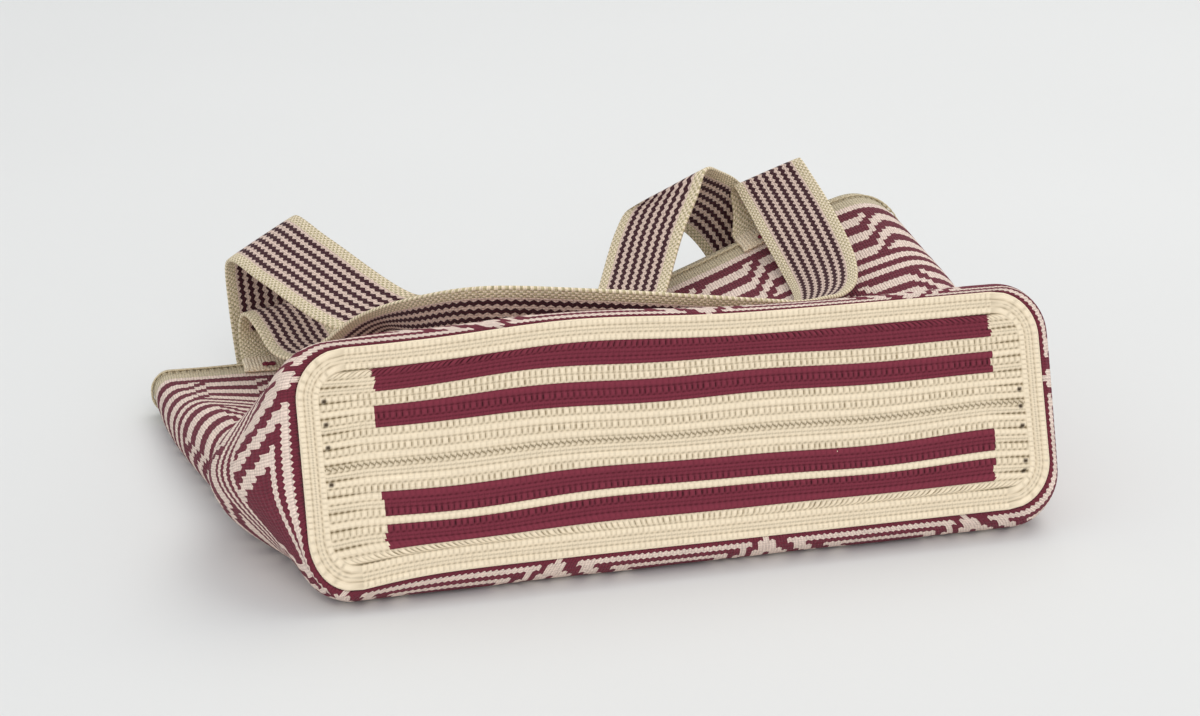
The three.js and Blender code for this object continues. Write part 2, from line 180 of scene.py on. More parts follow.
# the rows sway and the whole base is uneven, both less towards the ends and edges of the rows
ROW_SWAY = 1.9
ROW_SWAY_SIZE = 90.0
BASE_UNEVEN = 0.7
BASE_UNEVEN_SIZE = 110.0
CALM_ENDS = 20.0
CALM_EDGES = 8.0
# where the rows turn at the ends, their grooves deepen, and a few small holes are painted dark as
# painted shade
TURN_REACH = 22.0
TURN_DEPTH = 1.3
LEFT_HOLES = (48.1, 66.3, 77.6, 89.0)
RIGHT_HOLES = (19.5, 24.6, 43.1, 53.4, 62.3)
HOLE_INSET = 2.2
HOLE_RADIUS = 1.1
HOLE_SOFT = 1.6
# the base's back is drawn in a little from its edge
BACK_WIDTH_SHARE = 0.995
BACK_DEPTH_SHARE = 0.985
# brightness of the yarn, which changes after each run of faces
TONE_SPREAD = 0.02
TONE_RUN = 16

# Hollows between the base's stitches, which sink the mesh and are darkened as painted shade: widths
# are shares of a stitch or of a row, and strengths are shares of the depth
SLIT_DEPTH = 1.1
SLIT_SHARE = {"s": 1.0, "m": 0.4, "p": 0.3, "l": 0.35, "z": 0.2}
SLIT_STRENGTH = (0.65, 1.0)
SLIT_WIDTH = 0.15
SLIT_CORE = 1.3
SLIT_REACH = 0.42
SLIT_SIDESTEP = 0.04
SLIT_BEAT = (14, 34)
SLIT_FADE = 0.1
SLIT_TURN_POWER = 0.7
GROOVE_WIDTH = 0.24
GROOVE_STRENGTH = 0.36
GROOVE_BEAD = 0.2
GROOVE_TURNS = (1.6, 0.3)
LOOPS_WIDTH = 0.2
LOOPS_STRENGTH = 0.34
LOOPS_BEAD = 0.14
JAG_WIDTH = 0.2
JAG_CORE = 1.2
JAG_SWAY = 0.28
JAG_STRENGTH = 0.9

# Soft forms of the lying cloth: the droop of the base's lower left corner, the tucks of the wall
# behind its upper and its lower left corner, and the bulge of its upper edge
DROOP = 7.0
DROOP_X = -196.0
DROOP_WIDTH = 42.0
TUCK = 12.0
TUCK_X = -205.0
TUCK_WIDTH = 70.0
TUCK_Z = 40.0
TUCK_RISE = 60.0
TUCK_START = 25.0
TUCK_END_Y = 110.0
TUCK_FADE = 60.0
CORNER_TUCK = 9.0
CORNER_TUCK_X = -160.0
CORNER_TUCK_WIDTH = 40.0
CORNER_TUCK_START = 5.0
CORNER_TUCK_Y = 40.0
CORNER_TUCK_FADE = 60.0
CORNER_TUCK_Z = 15.0
CORNER_TUCK_HEIGHT = 45.0
BULGE = 4.5
BULGE_X = -55.0
BULGE_WIDTH = 60.0

# Wall pattern in stitches and rows: nested figures, then stepped bars between groups of lines
REPEATS = 9
REPEAT_STITCHES = 35
WALL_ROWS = 96
FIGURE_ROWS = 12
FIGURE_START_LEAN = 0.7
FIGURE_START_BAND = 2.3
FIGURE_END_GAP = 1.9
FIGURE_END_LEAN = 0.4
FIGURE_END_BAND = 1.4
FIGURE_CORE = 4
GROUND_SHARE = 0.6
LINE_ROWS = 2
LINE_PERIOD = 4
BAR_ROWS = 3.0
BAR_SHARE = 0.56
ZONE_ROWS = 16
ZONE_STEPS = 3
STEP_SLOPE = 3
RIM_BAND_ROW = 90
PATTERN_START = 38.0
# each zone of stepped bars: its first row, the way its bars step and the stitch where they do so
BAR_ZONES = ((18, -1, 5), (44, -1, 12), (70, 1, 26))
# the foot of each V dips into the row below, the wall is uneven, and the rim is rounded
FOOT_DIP = 0.3
WALL_UNEVEN = 0.35
WALL_UNEVEN_SIZE = 60.0
RIM_BROW = 0.35
# brightness of the wall's stitches: its spread and limits, then the painted shade of both yarns at
# the base and at the rim, darker towards the rim and darker on the burgundy
STITCH_TONE_SPREAD = 0.035
STITCH_TONES = (0.88, 1.08)
CREAM_PAINTED_SHADE = (1.02, 0.92)
BURGUNDY_PAINTED_SHADE = (0.9, 0.7)

# Loops of yarn: the chain below the rim, the seams at the lower ends of the tabs and a knot on each
# tab. Spans across a tab are shares of its width, and the knot's place is a share of its length.
CHAIN_DROP = 6.5
CHAIN_POINTS = 700
CHAIN_LIFT = 0.7
SEAM_POINTS = 30
SEAM_LIFT = 1.6
SEAM_HALF_SHARE = 0.48
KNOT_POINTS = 4
KNOT_SPAN = (-0.24, -0.16)
KNOT_SHARE = 0.88
KNOT_LIFT = 0.9
KNOT_PRESS = 0.4

# Studio: the paper sweep in metres, and the camera at the photograph's angle, 20 degrees above the
# floor and turned 14.7 degrees to the left, with its distance in metres and its aim in millimetres
SWEEP_FRONT = -3.5
SWEEP_DEPTH = 2.6
SWEEP_BEND = 1.2
SWEEP_TOP = 4.5
SWEEP_HALF_WIDTH = 6
SWEEP_COLUMNS = 9
SWEEP_BEND_LINES = 25
CAMERA_RISE = math.radians(20)
CAMERA_TURN = math.radians(14.73)
CAMERA_DISTANCE = 1.169
CAMERA_AIM = np.array([-51.0, 0.0, 122.0])

BASE_TOP_Y = BASE_DEPTH * math.sin(BASE_LEAN)
BASE_TOP_Z = EDGE_ROLL + BASE_DEPTH * math.cos(BASE_LEAN)
BASE_NORMAL = np.array([0.0, -math.cos(BASE_LEAN), math.sin(BASE_LEAN)])
TAB_SHARE = TAB_LENGTH / WALL_HEIGHT


# Shape of the bag. v is 0 at the base and 1 at the rim.


def smooth(t):
    t = np.clip(t, 0.0, 1.0)
    return t * t * (3.0 - 2.0 * t)


def fading(value, start, width):
    """1 up to start, then falling softly to 0 over width."""
    return 1 - smooth((value - start) / width)


def hump(x, middle, width):
    return np.exp(-(((x - middle) / width) ** 2))


def lerp(a, b, t):
    return a + (b - a) * t


def unit(vectors):
    return vectors / np.linalg.norm(vectors, axis=-1, keepdims=True)


def distance_along(points):
    """Distance of each point from the first, along the line through them."""
    return np.concatenate([[0.0], np.cumsum(np.linalg.norm(np.diff(points, axis=0), axis=1))])


def hermite(start, start_slope, end, end_slope, t):
    square, cube = t * t, t * t * t
    return (
        (2 * cube - 3 * square + 1) * start
        + (cube - 2 * square + t) * start_slope
        + (3 * square - 2 * cube) * end
        + (cube - square) * end_slope
    )


def swell(s):
    """Rise of the folds from the flat left end to the standing right end."""
    return 0.5 - 0.5 * np.cos(math.pi * np.clip(s, 0.0, 1.0) ** SWELL_POWER)


def side_x(v, sign, flare):
    roll = SIDE_ROLL * math.sin(min(v * WALL_HEIGHT / SIDE_ROLL, math.pi / 2))
    return sign * (BASE_WIDTH / 2 + roll + flare * math.sin(v * math.pi / 2) ** FLARE_POWER)


def left_x(v):
    return side_x(v, -1, FLARE_LEFT)


def right_x(v):
    return side_x(v, 1, FLARE_RIGHT)


def lower_line(v):
    """Lower panel: rolls under the base's edge, then lies flat, lifted at the rim by the tabs."""
    along = v * WALL_HEIGHT
    turn = min(along / EDGE_ROLL, math.pi / 2)
    flat = max(along - EDGE_ROLL * math.pi / 2, 0.0)
    start, end = 1 - TAB_LIFT_START * TAB_SHARE, 1 - TAB_LIFT_END * TAB_SHARE
    lift = (TAB_THICKNESS + 2 * SEAM_GAP) * smooth((v - start) / (end - start))
    return EDGE_ROLL * (1 - math.cos(turn)) + flat, EDGE_ROLL * (1 - math.sin(turn)) + lift


RIM_Y = lower_line(1.0)[0]


def upper_line(x, v):
    """Upper panel: over the base's top edge, down into the valley and up again to the rim."""
    s = (x - left_x(v)) / (right_x(v) - left_x(v))
    rise = swell(s)
    left_end = VALLEY_END_RISE * (1 - smooth(s / VALLEY_END_SHARE))
    valley_z = lerp(VALLEY_HEIGHT_LEFT, VALLEY_HEIGHT_RIGHT, rise) + left_end
    rim_z = lerp(RIM_HEIGHT_LEFT, RIM_HEIGHT_RIGHT, rise)
    crest = lerp(CREST_LEFT, CREST_RIGHT, s)
    valley_y = lerp(VALLEY_DISTANCE_LEFT, VALLEY_DISTANCE, smooth(s / VALLEY_END_SHARE))
    slope = VALLEY_TILT * (rim_z - valley_z)
    reach = valley_y * VALLEY_REACH
    if v < VALLEY_SHARE:
        t = v / VALLEY_SHARE
        y = hermite(BASE_TOP_Y, crest * math.cos(CREST_ANGLE), valley_y, reach, t)
        z = hermite(BASE_TOP_Z, crest * math.sin(CREST_ANGLE), valley_z, slope, t)
        return y, z
    t = (v - VALLEY_SHARE) / (1 - VALLEY_SHARE)
    stretch = (1 - VALLEY_SHARE) / VALLEY_SHARE
    y = hermite(valley_y, reach * stretch, RIM_Y + RIM_OVERHANG, RIM_Y - valley_y, t)
    z = hermite(valley_z, slope * stretch, rim_z, RIM_CURL, t)
    return y, z


def gape(x, v):
    """Distance between the two panels at one place."""
    low_y, low_z = lower_line(v)
    high_y, high_z = upper_line(x, v)
    return np.hypot(high_y - low_y, high_z - low_z)


def left_puff(share, v):
    """How far the left side stands out beyond its straight line from panel to panel."""
    return LEFT_PUFF * math.sin(math.pi * min(v / PUFF_SHARE, 1.0)) * np.sin(math.pi * share) ** 2


def section_points(x, climb, v):
    """Points at x on the section v, climb millimetres from the lower panel to the upper one."""
    x = np.asarray(x, float)
    low_y, low_z = lower_line(v)
    high_y, high_z = upper_line(x, v)
    share = climb / gape(x, v)
    out = np.where(x < 0, left_puff(share, v), 0.0)
    return np.stack([x - out, lerp(low_y, high_y, share), lerp(low_z, high_z, share)], axis=-1)


def ring(v):
    """Rounded oblong between the panels, from the middle of the lower panel round by the right."""
    left, right = left_x(v), right_x(v)
    span_right, span_left = gape(right, v), gape(left, v)
    round_right = min(lerp(BASE_CORNER, MOUTH_END_ROUND, v), CORNER_LIMIT * span_right)
    round_left = min(BASE_CORNER, CORNER_LIMIT * span_left)
    turn = np.linspace(0.0, math.pi / 2, ARC_POINTS, endpoint=False)
    back = math.pi / 2 - turn
    step = np.linspace(0.0, 1.0, SIDE_POINTS, endpoint=False)
    right_in, left_in = right - round_right, left + round_left
    arcs = []

    def low(x, climb):
        arcs.append(section_points(x, climb + 0 * x, v))

    def high(x, drop):
        arcs.append(section_points(x, gape(x, v) - drop, v))

    low(lerp(0, right_in, step), 0.0)
    low(right_in + round_right * np.sin(turn), round_right * (1 - np.cos(turn)))
    low(right + 0 * step, lerp(round_right, span_right - round_right, step))
    high(right_in + round_right * np.sin(back), round_right * (1 - np.cos(back)))
    high(lerp(right_in, left_in, step), 0.0)
    high(left_in - round_left * np.sin(turn), round_left * (1 - np.cos(turn)))
    low(left + 0 * step, lerp(span_left - round_left, round_left, step))
    low(left_in - round_left * np.sin(back), round_left * (1 - np.cos(back)))
    low(lerp(left_in, 0, step), 0.0)
    return np.concatenate(arcs)


def spaced_ring(v, count, start):
    """The ring at v as count evenly spaced points, from start, a share of the way round."""
    points = ring(v)
    closed = np.vstack([points, points[:1]])
    along = distance_along(closed)
    places = (start + np.arange(count) / count) % 1.0 * along[-1]
    return np.stack([np.interp(places, along, closed[:, k]) for k in range(3)], axis=-1)


def base_points(x, climb, height):
    x, climb, height = np.broadcast_arrays(x, climb, height)
    y = climb * math.sin(BASE_LEAN)
    z = EDGE_ROLL + climb * math.cos(BASE_LEAN)
    return np.stack([x, y, z], axis=-1) + height[..., None] * BASE_NORMAL


def settled(points):
    """The points with the soft forms of the lying cloth.

    The strap behind it bulges the base's upper edge. The base's lower left corner droops on to the
    ground, behind the upper left one the wall is tucked down towards the valley, and behind the
    lower left one it is tucked inwards.
    """
    x, y, z = points[..., 0], points[..., 1], points[..., 2]
    lift = BULGE * hump(x, BULGE_X, BULGE_WIDTH)
    lift *= smooth(z / BASE_TOP_Z) * fading(y, BASE_TOP_Y, BULGE_WIDTH)
    droop = DROOP * hump(x, DROOP_X, DROOP_WIDTH) * smooth(z / EDGE_ROLL)
    droop *= fading(z, EDGE_ROLL, DROOP_WIDTH) * fading(y, 0.0, DROOP_WIDTH)
    tuck = TUCK * fading(x, TUCK_X, TUCK_WIDTH) * smooth((z - TUCK_Z) / TUCK_RISE)
    tuck *= smooth((y - BASE_TOP_Y) / TUCK_START) * fading(y, TUCK_END_Y, TUCK_FADE)
    behind = y * math.cos(BASE_LEAN) - (z - EDGE_ROLL) * math.sin(BASE_LEAN)
    pull = CORNER_TUCK * smooth(behind / CORNER_TUCK_START)
    pull *= fading(y, CORNER_TUCK_Y, CORNER_TUCK_FADE) * fading(z, CORNER_TUCK_Z, CORNER_TUCK_HEIGHT)
    pull *= smooth((CORNER_TUCK_X - x) / CORNER_TUCK_WIDTH)
    return points + np.stack([pull, 0 * pull, lift - droop - tuck], axis=-1)


def panel_face(x, v, is_upper):
    """Outer face of either panel near the rim: its points and its outward directions."""
    x = np.asarray(x, float)

    def at(place, level):
        return section_points(place, gape(place, level) if is_upper else 0.0 * place, level)

    point = at(x, v)
    outward = unit(np.cross(at(x + 1, v) - point, point - at(x, v - NEAR)))
    return point, outward if is_upper else -outward


def seam_point(x, is_upper, beyond):
    """A corner of a tab's end at the rim, where the strap is sewn on, or a little way beyond it."""
    point, outward = panel_face(x, 1.0, is_upper)
    along = unit(point - panel_face(x, 1 - NEAR, is_upper)[0])
    return point + outward * (SEAM_GAP + TAB_THICKNESS / 2) + along * (SEAM_GAP + beyond)


def seam_place(centre_x, outer_sign, is_upper, beyond=0.0):
    """The outer and the inner corner of a tab's end."""
    half = outer_sign * STRAP_WIDTH / 2
    outer = seam_point(centre_x + half, is_upper, beyond)
    return outer, seam_point(centre_x - half, is_upper, beyond)


def place(outer, shift, lean):
    """A point of the strap's outer border, and across from it the inner border's."""
    outer = outer + np.array(shift, float)
    lean = np.array(lean, float)
    return outer, outer + lean * (STRAP_WIDTH / np.linalg.norm(lean))


def top_edge(x):
    return base_points(x, BASE_DEPTH, 0.0)


def valley_floor(x, share):
    return section_points(x, gape(x, share), share)


def front_strap_places():
    """Front strap: over the rim, along the back of the base's top edge, and back to the rim."""
    start, end = seam_place(TAB_LEFT_X, -1, True), seam_place(TAB_RIGHT_X, 1, True)
    left, right = start[0], end[0]
    return [
        start,
        seam_place(TAB_LEFT_X, -1, True, SEAM_TAIL),
        place(left, (0, 12, 10), (46, 8, 1)),
        place(left, (1, 9, 23), (45, 16, 0)),
        place(left, (3, -3, 29), (44, 19, -1)),
        place(left, (7, -24, 27), (44, 19, -2)),
        place(left, (12, -48, 21), (44, 20, -2)),
        place(left, (20, -69, 23), (43, 22, -6)),
        place(left, (34, -94, 39), (40, 24, -15)),
        place(top_edge(-145), (0, 115, -24), (33, 26, -23)),
        place(top_edge(-124), (0, 70, -1), (14, 20, -41)),
        place(top_edge(-93), (0, 40, 12), (3, 18, -44)),
        place(top_edge(-31), (0, 35, 7), (0, 17, -44)),
        place(top_edge(23), (0, 36, -1), (0, 21, -43)),
        place(top_edge(58), (0, 42, -8), (-1, 26, -40)),
        place(top_edge(86), (0, 56, -16), (-2, 30, -37)),
        place(top_edge(109), (0, 78, -23), (-6, 41, -24)),
        place(top_edge(128), (0, 99, -29), (-15, 41, -20)),
        place(right, (-20, -140, -4), (-25, 36, -18)),
        place(right, (-10, -109, 1), (-32, 28, -21)),
        place(right, (-5, -57, 14), (-37, 21, -21)),
        place(right, (-5, -17, 25), (-36, 22, -22)),
        place(right, (-6, -1, 30), (-36, 22, -22)),
        place(right, (-3, 9, 24), (-40, 16, -21)),
        place(right, (0, 11, 11), (-45, 6, -19)),
        seam_place(TAB_RIGHT_X, 1, True, SEAM_TAIL),
        end,
    ]


def back_strap_places():
    """Back strap: up behind the mouth, over it into the valley, and back to the rim."""
    start, end = seam_place(TAB_LEFT_X, -1, False), seam_place(TAB_RIGHT_X, 1, False)
    left, right = start[0], end[0]
    return [
        start,
        seam_place(TAB_LEFT_X, -1, False, SEAM_TAIL),
        place(left, (0, 22, 5), (47, 8, 1)),
        place(left, (-1, 34, 22), (46, 12, 4)),
        place(left, (-3, 37, 50), (46, 9, 10)),
        place(left, (-4, 34, 75), (43, 3, 22)),
        place(left, (-2, 22, 83), (42, 1, 25)),
        place(left, (11, -20, 82), (43, 5, 21)),
        place(left, (48, -95, 74), (43, 17, 12)),
        place(valley_floor(-122, 0.6), (0, 26, 50), (38, 29, 4)),
        place(valley_floor(-96, 0.55), (0, 30, 25), (22, 42, 0)),
        place(valley_floor(-68, 0.5), (0, 18, 16), (6, 47, -4)),
        place(valley_floor(-20, 0.45), (0, 22, 10), (-14, 45, 0)),
        place(valley_floor(20, 0.55), (0, 10, 12), (-28, 38, -4)),
        place(right, (-112, -61, 70), (-33, 34, -8)),
        place(right, (-90, -23, 95), (-34, 32, -9)),
        place(right, (-76, -6, 112), (-38, 22, -15)),
        place(right, (-67, 7, 123), (-42, 6, -22)),
        place(right, (-52, 24, 116), (-38, 7, -28)),
        place(right, (-34, 38, 103), (-30, 9, -36)),
        place(right, (-18, 43, 80), (-31, 8, -36)),
        place(right, (-7, 40, 48), (-40, 5, -26)),
        place(right, (0, 30, 17), (-47, 4, -8)),
        place(right, (0, 16, 3), (-48, 1, -1)),
        seam_place(TAB_RIGHT_X, 1, False, SEAM_TAIL),
        end,
    ]


def border_curve(points, t):
    """Centripetal Catmull-Rom curve through points, at t from 0 to 1."""
    points = np.asarray(points, float)
    ends = 2 * points[0] - points[1], 2 * points[-1] - points[-2]
    line = np.vstack([ends[:1], points, ends[1:]])
    place_on = np.clip(t, 0, 1) * (len(points) - 1)
    i = np.minimum(place_on.astype(int), len(points) - 2)
    w = (place_on - i)[:, None]
    p0, p1, p2, p3 = line[i], line[i + 1], line[i + 2], line[i + 3]
    spans = ((p0, p1), (p1, p2), (p2, p3))
    d0, d1, d2 = (np.sqrt(np.linalg.norm(b - a, axis=1))[:, None] for a, b in spans)
    slope1 = ((p1 - p0) / d0 - (p2 - p0) / (d0 + d1) + (p2 - p1) / d1) * d1
    slope2 = ((p2 - p1) / d1 - (p3 - p1) / (d1 + d2) + (p3 - p2) / d2) * d1
    return hermite(p1, slope1, p2, slope2, w)


def strap_lines(places, step):
    """Both borders of a strap at even steps along its middle, with the distance along it."""
    outer, inner = zip(*places)
    t = np.linspace(0, 1, STRAP_SAMPLES)
    along = distance_along((border_curve(outer, t) + border_curve(inner, t)) / 2)
    distance = np.linspace(0, along[-1], int(along[-1] / step) + 1)
    even = np.interp(distance, along, t)
    return border_curve(outer, even), border_curve(inner, even), distance


# The part's frame has its origin under the middle of the bag, so the formulas' points are shifted.


def frame_shift():
    low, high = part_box("back_left_tab")
    x = low.x / MM - (TAB_LEFT_X - STRAP_WIDTH / 2)
    y = high.y / MM - RIM_Y
    return np.array([x, y, 0.0])


SHIFT = frame_shift()


# Wall pattern: nested figures, straight lines and stepped bars, worked out stitch by stitch


def pattern_yarn(stitch, row):
    """1 where the stitch is burgundy and 0 where it is cream."""
    across = np.mod(stitch, REPEAT_STITCHES)
    # bands in from either end of a figure, two stitches or so wide, and one row wide from below
    from_start = (across + 0.5 - FIGURE_START_LEAN * row) / FIGURE_START_BAND
    from_end = (REPEAT_STITCHES - FIGURE_END_GAP - across - FIGURE_END_LEAN * row) / FIGURE_END_BAND
    depth = np.minimum(from_start, from_end)
    # outside the figures the bands are wider
    depth = np.where(depth < 0, depth * GROUND_SHARE, np.minimum(depth, row))
    burgundy = (np.floor(depth) % 2 == 0) | (depth >= FIGURE_CORE)
    burgundy = np.where(row >= FIGURE_ROWS, (row - FIGURE_ROWS) % 2 == 1, burgundy)
    for first_row, direction, first_stitch in BAR_ZONES:
        steps = ZONE_STEPS * np.mod(across - first_stitch, REPEAT_STITCHES) / REPEAT_STITCHES
        climb = 2 * BAR_ROWS * (np.floor(steps) + np.clip(STEP_SLOPE * np.mod(steps, 1), 0, 1))
        bars = np.mod((row - first_row + direction * climb) / BAR_ROWS / 2, 1) >= 1 - BAR_SHARE
        burgundy = np.where(row >= first_row, bars, burgundy)
        lines = (row - first_row - ZONE_ROWS) % LINE_PERIOD < LINE_ROWS
        burgundy = np.where(row >= first_row + ZONE_ROWS, lines, burgundy)
    return np.where(row >= RIM_BAND_ROW, False, burgundy).astype(float)


# Meshes


def grid_faces(rows, columns, closed, flip=False):
    """Corner numbers of the faces of a grid, and each corner's column and row."""
    last = columns if closed else columns - 1
    i, k = np.meshgrid(np.arange(last), np.arange(rows - 1))
    i, k = i.ravel(), k.ravel()
    column = np.stack([i, i + 1, i + 1, i], axis=1)
    row = np.stack([k, k, k + 1, k + 1], axis=1)
    if flip:
        column, row = column[:, ::-1], row[:, ::-1]
    return row * columns + column % columns, column, row


def piece(name, points, faces, material, uv=None, marks=(), point_marks=()):
    """A smooth-shaded mesh object from points in millimetres of the formulas."""
    mesh = bpy.data.meshes.new(name)
    mesh.from_pydata(((points + SHIFT) * MM).tolist(), [], [list(map(int, f)) for f in faces])
    if uv is not None:
        layer = mesh.uv_layers.new(name="stitches")
        layer.data.foreach_set("uv", np.asarray(uv, np.float32).ravel())
    for domain, named in (("FACE", dict(marks)), ("POINT", dict(point_marks))):
        for label, values in named.items():
            attribute = mesh.attributes.new(label, "FLOAT", domain)
            attribute.data.foreach_set("value", np.asarray(values, np.float32))
    mesh.polygons.foreach_set("use_smooth", np.ones(len(mesh.polygons), bool))
    mesh.materials.append(material)
    mesh.validate()
    made = bpy.data.objects.new(name, mesh)
    bpy.context.scene.collection.objects.link(made)
    return made


def hollows(u, v, work, turning, seed):
    """How hollow the crochet is, from 0 on the yarn to 1 in its gaps, at u stitches and v rows."""
    chance = np.random.default_rng(seed)
    row = np.minimum(np.floor(v + TINY).astype(int), len(work) - 1)
    part = v - row
    nearest = np.round(u).astype(int)
    size = (len(work), nearest.max() + 1)
    strength = chance.uniform(*SLIT_STRENGTH, size) * np.array([[SLIT_SHARE[kind]] for kind in work])
    sidestep = chance.normal(0.0, SLIT_SIDESTEP, size)
    # slits between the posts, which come and go along a row and fade where the rows turn
    away = np.abs(u - nearest - sidestep[row, nearest])
    tall = np.clip((SLIT_REACH - np.abs(part - 0.5)) / SLIT_WIDTH, 0, 1)
    beat, start = chance.uniform(*SLIT_BEAT, len(work)), chance.uniform(0, FULL_TURN, len(work))
    fade = 1 - SLIT_FADE + SLIT_FADE * np.sin(FULL_TURN * u / beat[row] + start[row])
    fade = fade / turning**SLIT_TURN_POWER
    hollow = fade * strength[row, nearest] * tall * np.clip(SLIT_CORE - away / SLIT_WIDTH, 0, 1)
    # beaded grooves between the rows, by turns deeper and shallower where the rows turn
    edge = np.minimum(part, 1 - part)
    pair = 1 + (turning - 1) * np.where(np.round(v) % 2 == 0, *GROOVE_TURNS)
    bead = np.cos(2 * math.pi * (u + 0.5 * np.round(v)))
    groove = (GROOVE_STRENGTH + GROOVE_BEAD * bead) * pair
    hollow = np.maximum(hollow, np.clip(1 - edge / GROOVE_WIDTH, 0, 1) * groove)
    # a line of loops along the middle of some rows, and a jagged line of pulled loops along one
    line = np.clip(1 - np.abs(part - 0.5) / LOOPS_WIDTH, 0, 1)
    line *= LOOPS_STRENGTH + LOOPS_BEAD * np.cos(4 * math.pi * u)
    hollow = np.maximum(hollow, line * np.array([kind == "l" for kind in work])[row])
    sway = 0.5 + JAG_SWAY * np.sin(2 * math.pi * u)
    jag = np.clip(JAG_CORE - np.abs(part - sway) / JAG_WIDTH, 0, 1) * JAG_STRENGTH
    return np.clip(np.maximum(hollow, jag * np.array([kind == "z" for kind in work])[row]), 0, 1)


def waves(points, size, seed):
    """Gentle unevenness from -1 to 1 or so that varies over about size millimetres."""
    chance = np.random.default_rng(seed)
    total = np.zeros(points.shape[:-1])
    for _ in range(WAVES):
        direction = chance.normal(size=3)
        direction /= np.linalg.norm(direction) * size / (2 * math.pi) * chance.uniform(*WAVE_SIZES)
        total += np.sin(points @ direction + chance.uniform(0, FULL_TURN))
    return total / WAVES * WAVE_GAIN


# Materials


def linear(colour):
    """Linear red, green, blue and alpha of an sRGB hex colour or of a colour property."""
    if isinstance(colour, str):
        colour = [int(colour[k : k + 2], 16) / 255 for k in (1, 3, 5)]
        colour = [c / 12.92 if c <= 0.04045 else ((c + 0.055) / 1.055) ** 2.4 for c in colour]
    return (*colour[:3], 1.0)


def add(tree, kind, settings, inputs, output=0):
    """Adds a node with its settings and inputs, each a value or a socket, and gives one output."""
    made = tree.nodes.new(kind)
    for key, value in settings.items():
        setattr(made, key, value)
    for key, value in inputs.items():
        if isinstance(value, bpy.types.NodeSocket):
            tree.links.new(value, made.inputs[key])
        else:
            made.inputs[key].default_value = value
    return made.outputs[output] if made.outputs else None


def new_material(name):
    material = bpy.data.materials.new(name)
    material.use_nodes = True
    material.node_tree.nodes.clear()
    return material, material.node_tree


def finish_cotton(tree, colour, shade, height, depth, roughness):
    """Closes a cotton material: matt, with a soft sheen of loose fibres and relief from height."""
    worked = add(tree, "ShaderNodeVectorMath", {"operation": "SCALE"}, {0: colour, "Scale": shade})
    normal = add(tree, "ShaderNodeBump", {}, {"Strength": 1.0, "Distance": depth, "Height": height})
    surface = add(
        tree,
        "ShaderNodeBsdfPrincipled",
        {},
        {
            "Base Color": worked,
            "Roughness": roughness,
            "IOR": 1.45,
            "Specular IOR Level": 0.25,
            "Sheen Weight": 0.06,
            "Sheen Roughness": 0.6,
            "Normal": normal,
        },
    )
    add(tree, "ShaderNodeOutputMaterial", {}, {"Surface": surface})


def stitch_map(tree):
    """Both coordinates of the piece's own UV map."""
    uv = add(tree, "ShaderNodeUVMap", {"uv_map": "stitches"}, {})
    split = add(tree, "ShaderNodeSeparateXYZ", {}, {0: uv}).node
    return split.outputs[0], split.outputs[1]


def fibres(tree):
    """Loose fibres on the face of crocheted cotton, about 0.5 mm apart."""
    place_at = add(tree, "ShaderNodeTexCoord", {}, {}, "Object")
    return add(tree, "ShaderNodeTexNoise", {}, {"Vector": place_at, "Scale": 1900.0, "Detail": 2.0})


def plumpness(tree, vector, randomness, core):
    """1 on the round back of each yarn or thread, falling to 0 in the gaps between them."""
    cell = add(
        tree,
        "ShaderNodeTexVoronoi",
        {"voronoi_dimensions": "2D", "feature": "F1"},
        {"Vector": vector, "Scale": 1.0, "Randomness": randomness},
    )
    return add(
        tree,
        "ShaderNodeMapRange",
        {"interpolation_type": "SMOOTHSTEP"},
        {"Value": cell, "From Min": core, "From Max": 0.75, "To Min": 1.0, "To Max": 0.0},
    )


def stitch_legs(tree, u, v):
    """Plumpness of the two legs of each crochet stitch, and how far up its row each place is."""
    lean = add(tree, "ShaderNodeMath", {"operation": "PINGPONG"}, {0: u, 1: 0.5})
    legs_v = add(tree, "ShaderNodeMath", {"operation": "MULTIPLY_ADD"}, {0: lean, 1: -0.6, 2: v})
    legs_u = add(tree, "ShaderNodeMath", {"operation": "MULTIPLY"}, {0: u, 1: 2.0})
    legs = add(tree, "ShaderNodeCombineXYZ", {}, {0: legs_u, 1: legs_v})
    return plumpness(tree, legs, 0.22, 0.2), legs_v


